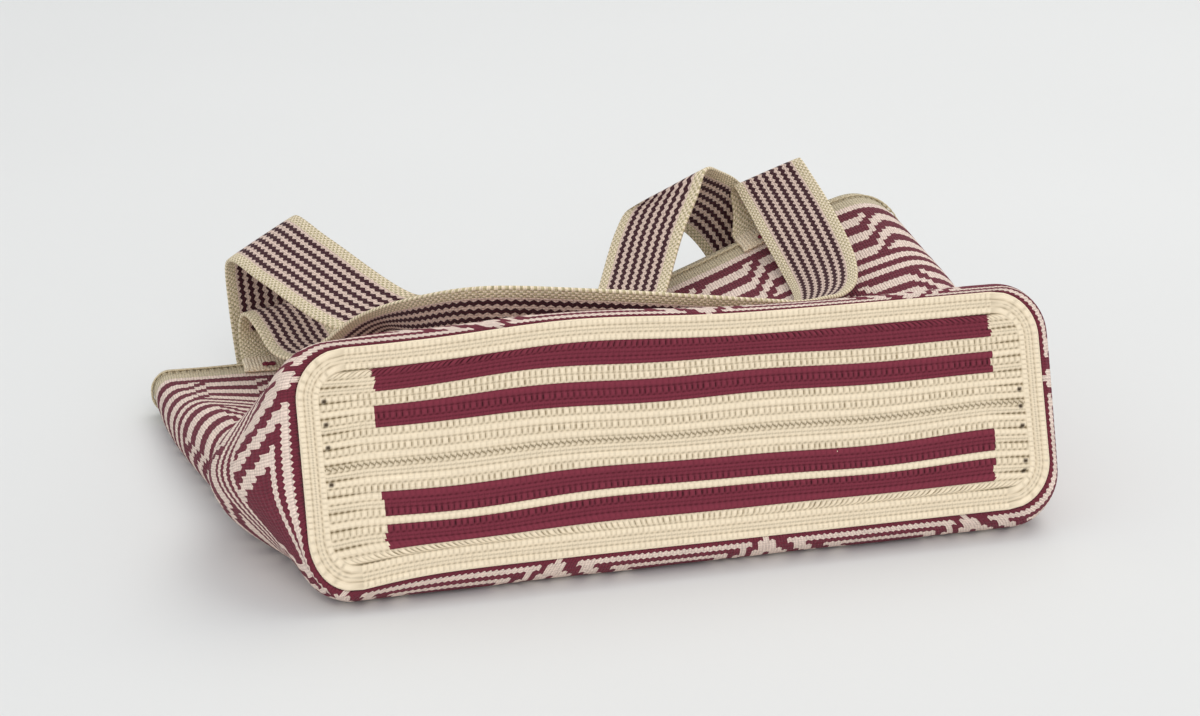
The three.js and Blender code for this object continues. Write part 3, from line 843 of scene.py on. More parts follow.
def wall_cotton(colours):
    """Mercerised cotton worked in tapestry crochet.

    Two yarns are worked stitch by stitch, so the colour changes on the stitches themselves. Each
    stitch is a small V of two plump legs, with painted shade in the gaps between them and a slightly
    fuzzy face.
    """
    material, tree = new_material("tapestry_crochet_cotton")
    # each leg of a stitch is 1.5 mm wide and 3.2 mm tall
    plump, legs_v = stitch_legs(tree, *stitch_map(tree))
    fuzz = fibres(tree)
    height = add(tree, "ShaderNodeMath", {"operation": "MULTIPLY_ADD"}, {0: fuzz, 1: 0.3, 2: plump})
    yarn = add(tree, "ShaderNodeAttribute", {"attribute_name": "yarn"}, {}, "Fac")
    tone = add(tree, "ShaderNodeAttribute", {"attribute_name": "tone"}, {}, "Fac")
    band = add(tree, "ShaderNodeAttribute", {"attribute_name": "band"}, {}, "Fac")
    mix = {"data_type": "RGBA"}
    colour = {0: yarn, 6: linear(colours.blush), 7: linear(colours.burgundy)}
    colour = add(tree, "ShaderNodeMix", mix, colour, 2)
    # the rim band is worked in unbleached yarn
    colour = add(tree, "ShaderNodeMix", mix, {0: band, 6: colour, 7: linear(colours.rim)}, 2)
    # painted shade in the gaps between the legs of each stitch
    shade = add(
        tree,
        "ShaderNodeMapRange",
        {},
        {"Value": plump, "From Min": 0.0, "From Max": 0.8, "To Min": 0.82, "To Max": 1.0},
    )
    # painted shade in the furrows between the rows, about 0.5 mm to either side
    furrow_shade = add(tree, "ShaderNodeMath", {"operation": "PINGPONG"}, {0: legs_v, 1: 0.5})
    furrow_shade = add(
        tree,
        "ShaderNodeMapRange",
        {"interpolation_type": "SMOOTHSTEP"},
        {"Value": furrow_shade, "From Min": 0.0, "From Max": 0.16, "To Min": 0.76, "To Max": 1.0},
    )
    # painted shade of the gaps and furrows, times the stitch's tone with its painted shade towards
    # the rim
    level = add(tree, "ShaderNodeMath", {"operation": "MULTIPLY"}, {0: shade, 1: tone})
    level = add(tree, "ShaderNodeMath", {"operation": "MULTIPLY"}, {0: level, 1: furrow_shade})
    finish_cotton(tree, colour, level, height, 0.7 * MM, 0.92)
    return material


def base_cotton(colours):
    """The same cotton worked in flat rows, with painted shade in the slits, grooves and end holes
    between its stitches.
    """
    material, tree = new_material("row_crochet_cotton")
    fuzz = fibres(tree)
    yarn = add(tree, "ShaderNodeAttribute", {"attribute_name": "yarn"}, {}, "Fac")
    tone = add(tree, "ShaderNodeAttribute", {"attribute_name": "tone"}, {}, "Fac")
    hollow = add(tree, "ShaderNodeAttribute", {"attribute_name": "hollow"}, {}, "Fac")
    hole_shade = add(tree, "ShaderNodeAttribute", {"attribute_name": "hole_shade"}, {}, "Fac")
    mix = {"data_type": "RGBA"}
    lit = {0: yarn, 6: linear(colours.cream), 7: linear(colours.burgundy)}
    lit = add(tree, "ShaderNodeMix", mix, lit, 2)
    # painted shade: between the stitches the yarn is mixed towards a warm dark colour
    shaded = {0: yarn, 6: linear("#7E6A45"), 7: linear("#22060D")}
    shaded = add(tree, "ShaderNodeMix", mix, shaded, 2)
    colour = add(tree, "ShaderNodeMix", mix, {0: hollow, 6: lit, 7: shaded}, 2)
    # painted shade: the small holes at the ends of the rows are painted dark brown, with no hole in
    # the mesh
    colour = add(tree, "ShaderNodeMix", mix, {0: hole_shade, 6: colour, 7: linear("#4A3B2C")}, 2)
    finish_cotton(tree, colour, tone, fuzz, 0.25 * MM, 0.92)
    return material


def strap_cotton(colours, sizes):
    """Cotton band woven on a narrow loom.

    Six dark zigzag stripes alternate with pale rose ones between two speckled cream borders, so the
    band looks ribbed along its length. The UV map is in millimetres across and along the band.
    """
    material, tree = new_material("woven_cotton_band")
    across, along = stitch_map(tree)
    pitch = sizes.stripe_pitch / MM
    border = sizes.strap_border / MM
    # zigzag of 4.6 mm, which shifts the stripes by a little over a quarter of their pitch
    turn = add(tree, "ShaderNodeMath", {"operation": "DIVIDE"}, {0: along, 1: sizes.zigzag / MM})
    zigzag = add(tree, "ShaderNodeMath", {"operation": "PINGPONG"}, {0: turn, 1: 0.5})
    moved = {0: zigzag, 1: 0.55 * pitch, 2: across}
    moved = add(tree, "ShaderNodeMath", {"operation": "MULTIPLY_ADD"}, moved)
    # half of that shift is taken back, which centres the stripes between the borders
    moved = {0: moved, 1: border + 0.14 * pitch}
    moved = add(tree, "ShaderNodeMath", {"operation": "SUBTRACT"}, moved)
    stripe = add(tree, "ShaderNodeMath", {"operation": "DIVIDE"}, {0: moved, 1: pitch})
    stripe = add(tree, "ShaderNodeMath", {"operation": "PINGPONG"}, {0: stripe, 1: 0.5})
    dark = add(
        tree,
        "ShaderNodeMapRange",
        {"interpolation_type": "SMOOTHSTEP"},
        {"Value": stripe, "From Min": 0.215, "From Max": 0.265, "To Min": 0.0, "To Max": 1.0},
    )
    middle = add(tree, "ShaderNodeMath", {"operation": "SUBTRACT"}, {0: across, 1: STRAP_WIDTH / 2})
    middle = add(tree, "ShaderNodeMath", {"operation": "ABSOLUTE"}, {0: middle})
    reach = STRAP_WIDTH / 2 - border
    inside = add(
        tree,
        "ShaderNodeMapRange",
        {},
        {"Value": middle, "From Min": reach, "From Max": reach + 0.5, "To Min": 1.0, "To Max": 0.0},
    )
    plain_end = add(tree, "ShaderNodeAttribute", {"attribute_name": "plain_end"}, {}, "Fac")
    clamped = {"operation": "SUBTRACT", "use_clamp": True}
    patterned = add(tree, "ShaderNodeMath", clamped, {0: inside, 1: plain_end})
    # picks of the weave, 1.5 mm wide and 1.8 mm long
    pick_u = add(tree, "ShaderNodeMath", {"operation": "DIVIDE"}, {0: across, 1: 1.5})
    pick_v = add(tree, "ShaderNodeMath", {"operation": "DIVIDE"}, {0: along, 1: 1.8})
    picks = add(tree, "ShaderNodeCombineXYZ", {}, {0: pick_u, 1: pick_v})
    plump = plumpness(tree, picks, 0.35, 0.15)
    specks = {"Vector": picks, "Scale": 1.0, 1: linear(colours.cream), 2: linear(colours.ochre)}
    specks = add(tree, "ShaderNodeTexChecker", {}, specks)
    mix = {"data_type": "RGBA"}
    stripes = {0: dark, 6: linear(colours.rose), 7: linear(colours.maroon)}
    stripes = add(tree, "ShaderNodeMix", mix, stripes, 2)
    colour = add(tree, "ShaderNodeMix", mix, {0: patterned, 6: specks, 7: stripes}, 2)
    # painted shade in the gaps between the picks of the weave
    shade = add(
        tree,
        "ShaderNodeMapRange",
        {},
        {"Value": plump, "From Min": 0.0, "From Max": 0.8, "To Min": 0.72, "To Max": 1.0},
    )
    raised = add(tree, "ShaderNodeMath", {"operation": "MULTIPLY_ADD"}, {0: dark, 1: -0.5, 2: plump})
    finish_cotton(tree, colour, shade, raised, 0.5 * MM, 0.88)
    return material


def tab_cotton(colours):
    """Cream cotton crocheted in a close lengthwise rib, with painted shade in the gaps round its
    small loops and a faint painted highlight on them.
    """
    material, tree = new_material("ribbed_cotton_crochet")
    across, along = stitch_map(tree)
    # ribs 2 mm apart, two to a stitch, each of loops 2.6 mm long
    u = add(tree, "ShaderNodeMath", {"operation": "DIVIDE"}, {0: across, 1: 4.0})
    v = add(tree, "ShaderNodeMath", {"operation": "DIVIDE"}, {0: along, 1: 2.6})
    plump = stitch_legs(tree, u, v)[0]
    # painted shade in the gaps round the loops, and a faint painted highlight on their backs
    shade = add(
        tree,
        "ShaderNodeMapRange",
        {},
        {"Value": plump, "From Min": 0.0, "From Max": 0.8, "To Min": 0.68, "To Max": 1.05},
    )
    finish_cotton(tree, linear(colours.cream)[:3], shade, plump, 0.9 * MM, 0.92)
    return material


def yarn_cotton(name, colour):
    """Plied cotton yarn: matt, with its plies showing as a fine unevenness."""
    material, tree = new_material(name)
    place_at = add(tree, "ShaderNodeTexCoord", {}, {}, "Object")
    # plies about 0.6 mm apart
    plies = {"Vector": place_at, "Scale": 1600.0, "Detail": 2.0}
    plies = add(tree, "ShaderNodeTexNoise", {}, plies)
    shade = add(
        tree,
        "ShaderNodeMapRange",
        {},
        {"Value": plies, "From Min": 0.3, "From Max": 0.6, "To Min": 0.75, "To Max": 1.0},
    )
    finish_cotton(tree, linear(colour)[:3], shade, plies, 0.3 * MM, 0.92)
    return material


def floor_paper(colours):
    """Seamless matt paper, pale and plain, with hardly any gloss."""
    material, tree = new_material("seamless_paper")
    place_at = add(tree, "ShaderNodeTexCoord", {}, {}, "Object")
    # broad cloudiness over about half a metre
    clouds = {"Vector": place_at, "Scale": 2.0, "Detail": 1.0}
    clouds = add(tree, "ShaderNodeTexNoise", {}, clouds)
    shade = add(
        tree,
        "ShaderNodeMapRange",
        {},
        {"Value": clouds, "From Min": 0.3, "From Max": 0.7, "To Min": 0.985, "To Max": 1.0},
    )
    paper = {0: linear(colours.paper)[:3], "Scale": shade}
    paper = add(tree, "ShaderNodeVectorMath", {"operation": "SCALE"}, paper)
    surface = {"Base Color": paper, "Roughness": 0.95, "Specular IOR Level": 0.1}
    surface = add(tree, "ShaderNodeBsdfPrincipled", {}, surface)
    add(tree, "ShaderNodeOutputMaterial", {}, {"Surface": surface})
    return material


# Sizes and colours that a user would change


class ToteSizes(bpy.types.PropertyGroup):
    """Sizes of the bag's stitches, weave and edge."""

    stitch: FloatProperty(
        name="Base stitch", description="Width of one stitch of the base",
        default=3.1 * MM, min=MM, unit="LENGTH",
    )
    ridge: FloatProperty(
        name="Row ridge", description="Height of the rows of the base",
        default=0.55 * MM, min=0.0, unit="LENGTH",
    )
    stripe_pitch: FloatProperty(
        name="Stripe pitch", description="Distance between the strap's dark stripes",
        default=5.75 * MM, unit="LENGTH",
    )
    strap_border: FloatProperty(
        name="Strap border", description="Width of the strap's plain border",
        default=6.6 * MM, unit="LENGTH",
    )
    zigzag: FloatProperty(
        name="Zigzag", description="Length of one zigzag along the strap",
        default=4.6 * MM, unit="LENGTH",
    )
    plain_end: FloatProperty(
        name="Plain end", description="Length of unpatterned band at each end",
        default=22 * MM, unit="LENGTH",
    )
    chain_step: FloatProperty(
        name="Chain step", description="Distance between the loops of the rim's chain",
        default=4.0 * MM, unit="LENGTH",
    )
    yarn: FloatProperty(
        name="Yarn", description="Thickness of the yarn of loops and stitches",
        default=1.5 * MM, unit="LENGTH",
    )


class ToteColours(bpy.types.PropertyGroup):
    """Colours of the bag's yarns and of the studio floor."""

    cream: FloatVectorProperty(
        name="Cream yarn", description="Ground yarn of the body and tabs",
        subtype="COLOR", size=3, default=linear("#FFEED2")[:3], min=0, max=1,
    )
    blush: FloatVectorProperty(
        name="Wall cream", description="Ground yarn of the wall, tinged by the burgundy",
        subtype="COLOR", size=3, default=linear("#FFE8DA")[:3], min=0, max=1,
    )
    burgundy: FloatVectorProperty(
        name="Burgundy yarn", description="Pattern yarn of the body",
        subtype="COLOR", size=3, default=linear("#853445")[:3], min=0, max=1,
    )
    rim: FloatVectorProperty(
        name="Rim yarn", description="Unbleached yarn of the rim band",
        subtype="COLOR", size=3, default=linear("#DCCEB0")[:3], min=0, max=1,
    )
    maroon: FloatVectorProperty(
        name="Maroon thread", description="Dark zigzag stripes of the straps",
        subtype="COLOR", size=3, default=linear("#431B24")[:3], min=0, max=1,
    )
    rose: FloatVectorProperty(
        name="Rose thread", description="Pale stripes of the straps",
        subtype="COLOR", size=3, default=linear("#E6CCBE")[:3], min=0, max=1,
    )
    ochre: FloatVectorProperty(
        name="Ochre thread", description="Specks in the borders of the straps",
        subtype="COLOR", size=3, default=linear("#CDBF98")[:3], min=0, max=1,
    )
    paper: FloatVectorProperty(
        name="Paper", description="Floor and backdrop",
        subtype="COLOR", size=3, default=linear("#E6E7E7")[:3], min=0, max=1,
    )


class TOTE_OT_wall(bpy.types.Operator):
    """Crochets the wall stitch by stitch, from the edge of the base to the rim, inside and out"""

    bl_idname = "tote.wall"
    bl_label = "Crocheted wall"

    def execute(self, context):
        columns = 2 * REPEATS * REPEAT_STITCHES
        foot = np.vstack([ring(0.0), ring(0.0)[:1]])
        perimeter = np.linalg.norm(np.diff(foot, axis=0), axis=1).sum()
        start = PATTERN_START / perimeter
        levels = np.arange(WALL_ROWS + 1) / WALL_ROWS
        outer = np.array([spaced_ring(v, columns, start) for v in levels])
        dip = FOOT_DIP / WALL_ROWS
        dipped = np.array([spaced_ring(max(v - dip, 0), columns, start) for v in levels[1:-1]])
        outer[1:-1, 1::2] = dipped[:, 1::2]
        around = np.roll(outer, -1, axis=1) - np.roll(outer, 1, axis=1)
        along = np.gradient(outer, axis=0)
        inward = unit(np.cross(around, along))
        uneven = waves(outer, WALL_UNEVEN_SIZE, WALL_SEED)
        outer += inward * (WALL_UNEVEN + WALL_UNEVEN * uneven)[..., None]
        # the inside has every second row only, and ends a little above the base
        inner_rows = np.arange(WALL_ROWS, 3, -2)
        inner = (outer + inward * WALL_THICKNESS)[inner_rows]
        brow = (outer[-1] + inner[0]) / 2 + along[-1] * RIM_BROW
        loops = np.concatenate([outer, brow[None], inner, outer[:1]])
        row_of = np.concatenate([np.arange(WALL_ROWS + 1), [WALL_ROWS + 0.5], inner_rows, [0]])
        faces, column, row = grid_faces(len(loops), columns, True, flip=True)
        points = loops[:-1].reshape(-1, 3)
        faces = np.where(faces >= len(points), faces - len(points), faces)
        uv = np.stack([column / 2.0, row_of[row]], axis=-1)
        stitch = np.floor(column.min(axis=1) / 2.0)
        face_row = np.clip(np.floor(row_of[row].min(axis=1)), 0, WALL_ROWS - 1)
        chance = np.random.default_rng(TONE_SEED)
        tones = chance.normal(1.0, STITCH_TONE_SPREAD, (REPEATS * REPEAT_STITCHES, WALL_ROWS))
        tone = np.clip(tones[stitch.astype(int), face_row.astype(int)], *STITCH_TONES)
        yarn = pattern_yarn(stitch, face_row)
        # painted shade: the burgundy yarn is darkened more than the cream, and both more towards the
        # rim
        up = face_row / WALL_ROWS
        tone *= np.where(yarn > 0, lerp(*BURGUNDY_PAINTED_SHADE, up), lerp(*CREAM_PAINTED_SHADE, up))
        cotton = wall_cotton(context.scene.tote_colours)
        marks = {"yarn": yarn, "tone": tone, "band": face_row >= RIM_BAND_ROW}
        wall = piece("bag_wall", settled(points), faces, cotton, uv, marks)
        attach(wall, "root")
        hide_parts("bag_body")
        return {"FINISHED"}


def outline_of(grid):
    """The values round the edge of a grid, starting at its first corner."""
    return np.concatenate([grid[0], grid[1:-1, -1], grid[-1, ::-1], grid[-2:0:-1, 0]])


def mesh_lines(rows):
    """Lines of the base's mesh across so many rows, counted in rows."""
    parts = np.arange(ROW_LINES) / ROW_LINES
    return np.append((np.arange(rows)[:, None] + parts).ravel(), rows)


def uneven_tones(chance, count):
    """Brightness of count faces, a little different for each short run of them."""
    runs = chance.normal(1, TONE_SPREAD, (count + TONE_RUN - 1) // TONE_RUN)
    return np.repeat(runs, TONE_RUN)[:count]


def end_holes(x, y, end):
    """1 in the small holes at the ends of the base's rows, which are painted dark as painted shade,
    and 0 elsewhere.
    """
    hole_shade = np.zeros(x.shape)
    for side, climbs in ((-1, LEFT_HOLES), (1, RIGHT_HOLES)):
        for climb in climbs:
            away_x = x - side * (end[:, None] - HOLE_INSET)
            away_y = y - (climb - BASE_DEPTH / 2)
            hole_shade = np.maximum(hole_shade, smooth(HOLE_SOFT - np.hypot(away_x, away_y) / HOLE_RADIUS))
    return hole_shade


class TOTE_OT_base(bpy.types.Operator):
    """Crochets the base: striped rows in the middle and rows round its edge"""

    bl_idname = "tote.base"
    bl_label = "Crocheted base"

    def execute(self, context):
        sizes = context.scene.tote_sizes
        rows, border_rows = len(FIELD_YARN), len(BORDER_WORK)
        row_height = BASE_DEPTH / (rows + 2 * border_rows)
        border = border_rows * row_height
        half_width, half_depth = BASE_WIDTH / 2 - border, BASE_DEPTH / 2 - border
        corner = BASE_CORNER - border
        stitches = round(2 * half_width / (sizes.stitch / MM))
        ridge = np.sin(math.pi * np.arange(ROW_LINES) / ROW_LINES) ** RIDGE_POWER * sizes.ridge / MM

        # striped rows of the middle
        lines = mesh_lines(rows)
        across = -half_depth + lines * row_height
        into = np.maximum(np.abs(across) - (half_depth - corner), 0)
        end = half_width - corner + np.sqrt(np.maximum(corner**2 - into**2, 0))
        stitch_lines = np.append((np.arange(stitches)[:, None] + COLUMN_PLACES).ravel(), stitches)
        stitch_at, row_at = np.meshgrid(stitch_lines, lines)
        field_x = end[:, None] * (2 * stitch_lines / stitches - 1)[None, :]
        flat_y = np.repeat(across[:, None], len(stitch_lines), axis=1)
        flat = np.stack([field_x, flat_y, 0 * field_x], axis=-1)
        calm = np.clip((half_width - np.abs(field_x)) / CALM_ENDS, 0, 1)
        calm *= np.clip((half_depth - np.abs(flat_y)) / CALM_EDGES, 0, 1)
        field_y = flat_y + calm * ROW_SWAY * waves(flat, ROW_SWAY_SIZE, SWAY_SEED)
        height = np.append(np.tile(ridge, rows), 0.0)[:, None]
        height = height + calm * BASE_UNEVEN * waves(flat, BASE_UNEVEN_SIZE, BASE_SEED)
        turning = 1 + TURN_DEPTH * fading(end[:, None] - np.abs(field_x), 0.0, TURN_REACH)
        hollow = hollows(stitch_at, row_at, FIELD_WORK, turning, FIELD_SEED)
        field = base_points(field_x, BASE_DEPTH / 2 + field_y, height - SLIT_DEPTH * hollow)
        field = field.reshape(-1, 3)
        faces, _, row = grid_faces(len(lines), len(stitch_lines), False)

        # where the stripes begin and end, with a few stray cream tufts on them
        face_row = np.floor(lines[row].min(axis=1) + TINY).astype(int)
        middle = flat.reshape(-1, 3)[faces].mean(axis=1)
        chance = np.random.default_rng(STRIPE_SEED)
        jag = chance.integers(0, STRIPE_JAGS, (2, rows)) * STRIPE_JAG * sizes.stitch / MM
        left = STRIPE_LEFT + jag[0, face_row]
        right = STRIPE_RIGHT + STRIPE_RIGHT_GROWTH * (middle[:, 1] + half_depth) + jag[1, face_row]
        yarn = np.array([yarn == "b" for yarn in FIELD_YARN])[face_row]
        yarn = yarn & (middle[:, 0] > left) & (middle[:, 0] < right)
        tuft = yarn & (chance.random(len(faces)) < TUFT_CHANCE)
        field_tone = uneven_tones(chance, len(faces))

        # rows round the edge, from the outline of the middle outwards
        tall = len(lines)
        outline = outline_of(np.arange(len(field)).reshape(field_x.shape))
        count = len(outline)
        ends_x, ends_y = outline_of(field_x), outline_of(flat_y)
        centre_x = np.clip(ends_x, -(half_width - corner), half_width - corner)
        centre_y = np.clip(ends_y, -(half_depth - corner), half_depth - corner)
        out_lines = mesh_lines(border_rows)[1:]
        reach = (out_lines * row_height)[:, None]
        border_x = ends_x + reach * ((ends_x - centre_x) / corner)
        border_y = ends_y + reach * ((ends_y - centre_y) / corner)
        # stitches of the border, counted from the first corner of the middle
        side_lines = np.arange(1, tall - 1) / END_STITCH_LINES
        half_way = stitches + math.ceil(tall / END_STITCH_LINES)
        round_lines = np.concatenate([stitch_lines, stitches + side_lines])
        round_lines = np.concatenate([round_lines, half_way + round_lines])
        stitch_at, row_at = np.meshgrid(round_lines, out_lines)
        straight = np.ones(stitch_at.shape)
        border_hollow = hollows(stitch_at, row_at, BORDER_WORK, straight, BORDER_SEED)
        border_hollow[-1] = 0.0
        height = np.append(np.tile(ridge, border_rows), 0.0)[1:, None] - SLIT_DEPTH * border_hollow
        rings = base_points(border_x, BASE_DEPTH / 2 + border_y, height).reshape(-1, 3)
        number = np.append(outline, len(field) + np.arange(len(rings)))
        border_faces = number[grid_faces(len(out_lines) + 1, count, True, flip=True)[0]]
        border_tone = uneven_tones(chance, len(border_faces))

        # turned edge and flat back
        back_y = BASE_DEPTH / 2 + border_y[-1] * BACK_DEPTH_SHARE
        back = base_points(border_x[-1] * BACK_WIDTH_SHARE, back_y, -WALL_THICKNESS)
        back_number = len(field) + len(rings) + np.arange(count)
        edge = np.append(number[-count:], back_number)
        edge_faces = edge[grid_faces(2, count, True, flip=True)[0]]

        points = np.concatenate([field, rings, back])
        quads = np.concatenate([faces, border_faces, edge_faces])
        all_faces = [*quads.tolist(), back_number[::-1].tolist()]
        plain = np.ones(len(edge_faces) + 1)
        marks = {
            "yarn": np.concatenate([np.where(tuft, 0.0, yarn), 0 * border_tone, 0 * plain]),
            "tone": np.concatenate([field_tone, border_tone, plain]),
        }
        hole_shade = end_holes(field_x, field_y, end)
        # hollow sinks the mesh and also drives the painted shade in the base's colour
        point_marks = {
            "hollow": np.concatenate([hollow.ravel(), border_hollow.ravel(), np.zeros(count)]),
            "hole_shade": np.append(hole_shade.ravel(), np.zeros(len(points) - hole_shade.size)),
        }
        cotton = base_cotton(context.scene.tote_colours)
        base = piece("bag_base", settled(points), all_faces, cotton, None, marks, point_marks)
        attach(base, "root")
        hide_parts("bag_body")
        return {"FINISHED"}


class TOTE_OT_straps(bpy.types.Operator):
    """Weaves the two shoulder straps along their borders"""

    bl_idname = "tote.straps"
    bl_label = "Woven straps"

    def execute(self, context):
        sizes = context.scene.tote_sizes
        material = strap_cotton(context.scene.tote_colours, sizes)
        # the section is flat with rounded borders
        turn = np.linspace(0, 2 * math.pi, STRAP_CORNERS, endpoint=False)
        share = 0.5 - 0.5 * np.sign(np.cos(turn)) * np.abs(np.cos(turn)) ** STRAP_ACROSS_POWER
        rise = np.sign(np.sin(turn)) * np.abs(np.sin(turn)) ** STRAP_RISE_POWER
        straps = (("front_strap", front_strap_places()), ("back_strap", back_strap_places()))
        for name, places in straps:
            outer, inner, distance = strap_lines(places, STRAP_STEP)
            middle = (outer + inner) / 2
            face = unit(np.cross(np.gradient(middle, axis=0), inner - outer))
            loops = outer[:, None] + (inner - outer)[:, None] * share[None, :, None]
            loops = loops + face[:, None] * (rise * STRAP_THICKNESS / 2)[None, :, None]
            points = loops.reshape(-1, 3)
            faces, column, row = grid_faces(len(loops), STRAP_CORNERS, True)
            uv = np.stack([share[column % STRAP_CORNERS] * STRAP_WIDTH, distance[row]], axis=-1)
            first_end = list(range(STRAP_CORNERS))[::-1]
            last_end = list(range(len(points) - STRAP_CORNERS, len(points)))
            end_uv = np.tile(np.stack([share * STRAP_WIDTH, 0 * share], axis=-1), (2, 1))
            from_end = np.minimum(distance, distance[-1] - distance)
            plain = smooth(sizes.plain_end / MM - from_end + 0.5)
            strap = piece(
                name + "_woven",
                points,
                [*faces.tolist(), first_end, last_end],
                material,
                np.concatenate([uv.reshape(-1, 2), end_uv]),
                point_marks={"plain_end": np.repeat(plain, STRAP_CORNERS)},
            )
            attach(strap, "root")
            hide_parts(name)
        return {"FINISHED"}


class TOTE_OT_tabs(bpy.types.Operator):
    """Crochets the four ribbed tabs that hold the straps to the rim"""

    bl_idname = "tote.tabs"
    bl_label = "Ribbed tabs"

    def execute(self, context):
        material = tab_cotton(context.scene.tote_colours)
        share = np.linspace(-0.5, 0.5, 4 * TAB_RIBS + 1)
        rib = TAB_RIB_HEIGHT * np.cos(2 * math.pi * TAB_RIBS * share)
        from_border = np.minimum(share + 0.5, 0.5 - share) * STRAP_WIDTH
        edge = np.clip(from_border / TAB_EDGE_ROUND, 0, 1) ** 0.5
        across = np.concatenate([share, share[::-1]]) * STRAP_WIDTH
        levels = np.linspace(1 - TAB_SHARE, 1.0, TAB_LINES)
        for name, centre, is_upper in TABS:
            loops = []
            for v in levels:
                point, outward = panel_face(centre + STRAP_WIDTH * share, v, is_upper)
                rolled = min((v - levels[0]) * WALL_HEIGHT / TAB_EDGE_ROUND, 1.0) ** 0.5
                fullness = lerp(TAB_EDGE_SHARE, 1.0, edge * rolled)
                top = SEAM_GAP + (TAB_THICKNESS - TAB_RIB_ROOM) * fullness + rib * edge
                under = point + outward * SEAM_GAP
                over = point + outward * top[:, None]
                loops.append(np.concatenate([under, over[::-1]]))
            points = np.concatenate(loops)
            count = len(across)
            faces, column, row = grid_faces(TAB_LINES, count, True, flip=is_upper)
            uv = np.stack([across[column % count], (levels * WALL_HEIGHT)[row]], axis=-1)
            first, last = list(range(count)), list(range(len(points) - count, len(points)))
            ends = [first, last[::-1]] if is_upper else [first[::-1], last]
            tab = piece(
                name + "_ribbed",
                points,
                [*faces.tolist(), *ends],
                material,
                np.concatenate([uv.reshape(-1, 2), np.zeros((2 * count, 2))]),
            )
            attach(tab, "root")
            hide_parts(name)
        return {"FINISHED"}


LOOP_SIZES = ("Step", "Loop Length", "Loop Width", "Yarn Radius", "Tilt")


def loops_on_paths():
    """Geometry Nodes: closed loops of yarn set at even steps along curves."""
    tree = bpy.data.node_groups.new("yarn_loops_on_paths", "GeometryNodeTree")
    face = tree.interface
    face.new_socket("Paths", in_out="INPUT", socket_type="NodeSocketGeometry")
    for label in LOOP_SIZES:
        face.new_socket(label, in_out="INPUT", socket_type="NodeSocketFloat")
    face.new_socket("Yarn", in_out="INPUT", socket_type="NodeSocketMaterial")
    face.new_socket("Mesh", in_out="OUTPUT", socket_type="NodeSocketGeometry")
    given = tree.nodes.new("NodeGroupInput").outputs
    spaced = {"Curve": given["Paths"], "Length": given["Step"]}
    spaced = add(tree, "GeometryNodeCurveToPoints", {"mode": "LENGTH"}, spaced).node.outputs
    by_radius = {"mode": "RADIUS"}
    oval = add(tree, "GeometryNodeCurvePrimitiveCircle", by_radius, {"Resolution": 9, "Radius": 0.5})
    size = {0: given["Loop Width"], 1: 1.0, 2: given["Loop Length"]}
    size = add(tree, "ShaderNodeCombineXYZ", {}, size)
    stand = {"Geometry": oval, "Rotation": (math.pi / 2, 0.0, 0.0)}
    stand = add(tree, "GeometryNodeTransform", {}, stand)
    shaped = add(tree, "GeometryNodeTransform", {}, {"Geometry": stand, "Scale": size})
    thread = {"Resolution": 5, "Radius": given["Yarn Radius"]}
    thread = add(tree, "GeometryNodeCurvePrimitiveCircle", by_radius, thread)
    link = add(tree, "GeometryNodeCurveToMesh", {}, {"Curve": shaped, "Profile Curve": thread})
    tilt = add(tree, "ShaderNodeCombineXYZ", {}, {0: 0.0, 1: given["Tilt"], 2: 0.0})
    turn = {0: spaced["Rotation"], 1: tilt}
    turn = add(tree, "FunctionNodeRotateRotation", {"rotation_space": "LOCAL"}, turn)
    placed = {"Points": spaced["Points"], "Instance": link, "Rotation": turn}
    placed = add(tree, "GeometryNodeInstanceOnPoints", {}, placed)
    real = add(tree, "GeometryNodeRealizeInstances", {}, {"Geometry": placed})
    soft = add(tree, "GeometryNodeSetShadeSmooth", {}, {"Geometry": real})
    dyed = add(tree, "GeometryNodeSetMaterial", {}, {"Geometry": soft, "Material": given["Yarn"]})
    add(tree, "NodeGroupOutput", {}, {0: dyed})
    return tree


def loops_piece(name, paths, closed, tree, values):
    """Runs the loop tree over paths in millimetres and keeps its result as a plain mesh piece."""
    curve = bpy.data.curves.new(name + "_paths", "CURVE")
    curve.dimensions = "3D"
    curve.twist_mode = "MINIMUM"
    for path in paths:
        spline = curve.splines.new("POLY")
        spline.points.add(len(path) - 1)
        whole = np.hstack([(path + SHIFT) * MM, np.ones((len(path), 1))])
        spline.points.foreach_set("co", whole.astype(np.float32).ravel())
        spline.use_cyclic_u = closed
    carrier = bpy.data.objects.new(name + "_paths", curve)
    bpy.context.scene.collection.objects.link(carrier)
    modifier = carrier.modifiers.new("loops", "NODES")
    modifier.node_group = tree
    for item in tree.interface.items_tree:
        if item.in_out == "INPUT" and item.name in values:
            modifier[item.identifier] = values[item.name]
    evaluated = carrier.evaluated_get(bpy.context.evaluated_depsgraph_get())
    mesh = bpy.data.meshes.new_from_object(evaluated)
    mesh.name = name
    if not mesh.polygons:
        raise RuntimeError(name + ": the yarn loops came out empty")
    bpy.data.objects.remove(carrier)
    made = bpy.data.objects.new(name, mesh)
    bpy.context.scene.collection.objects.link(made)
    return made


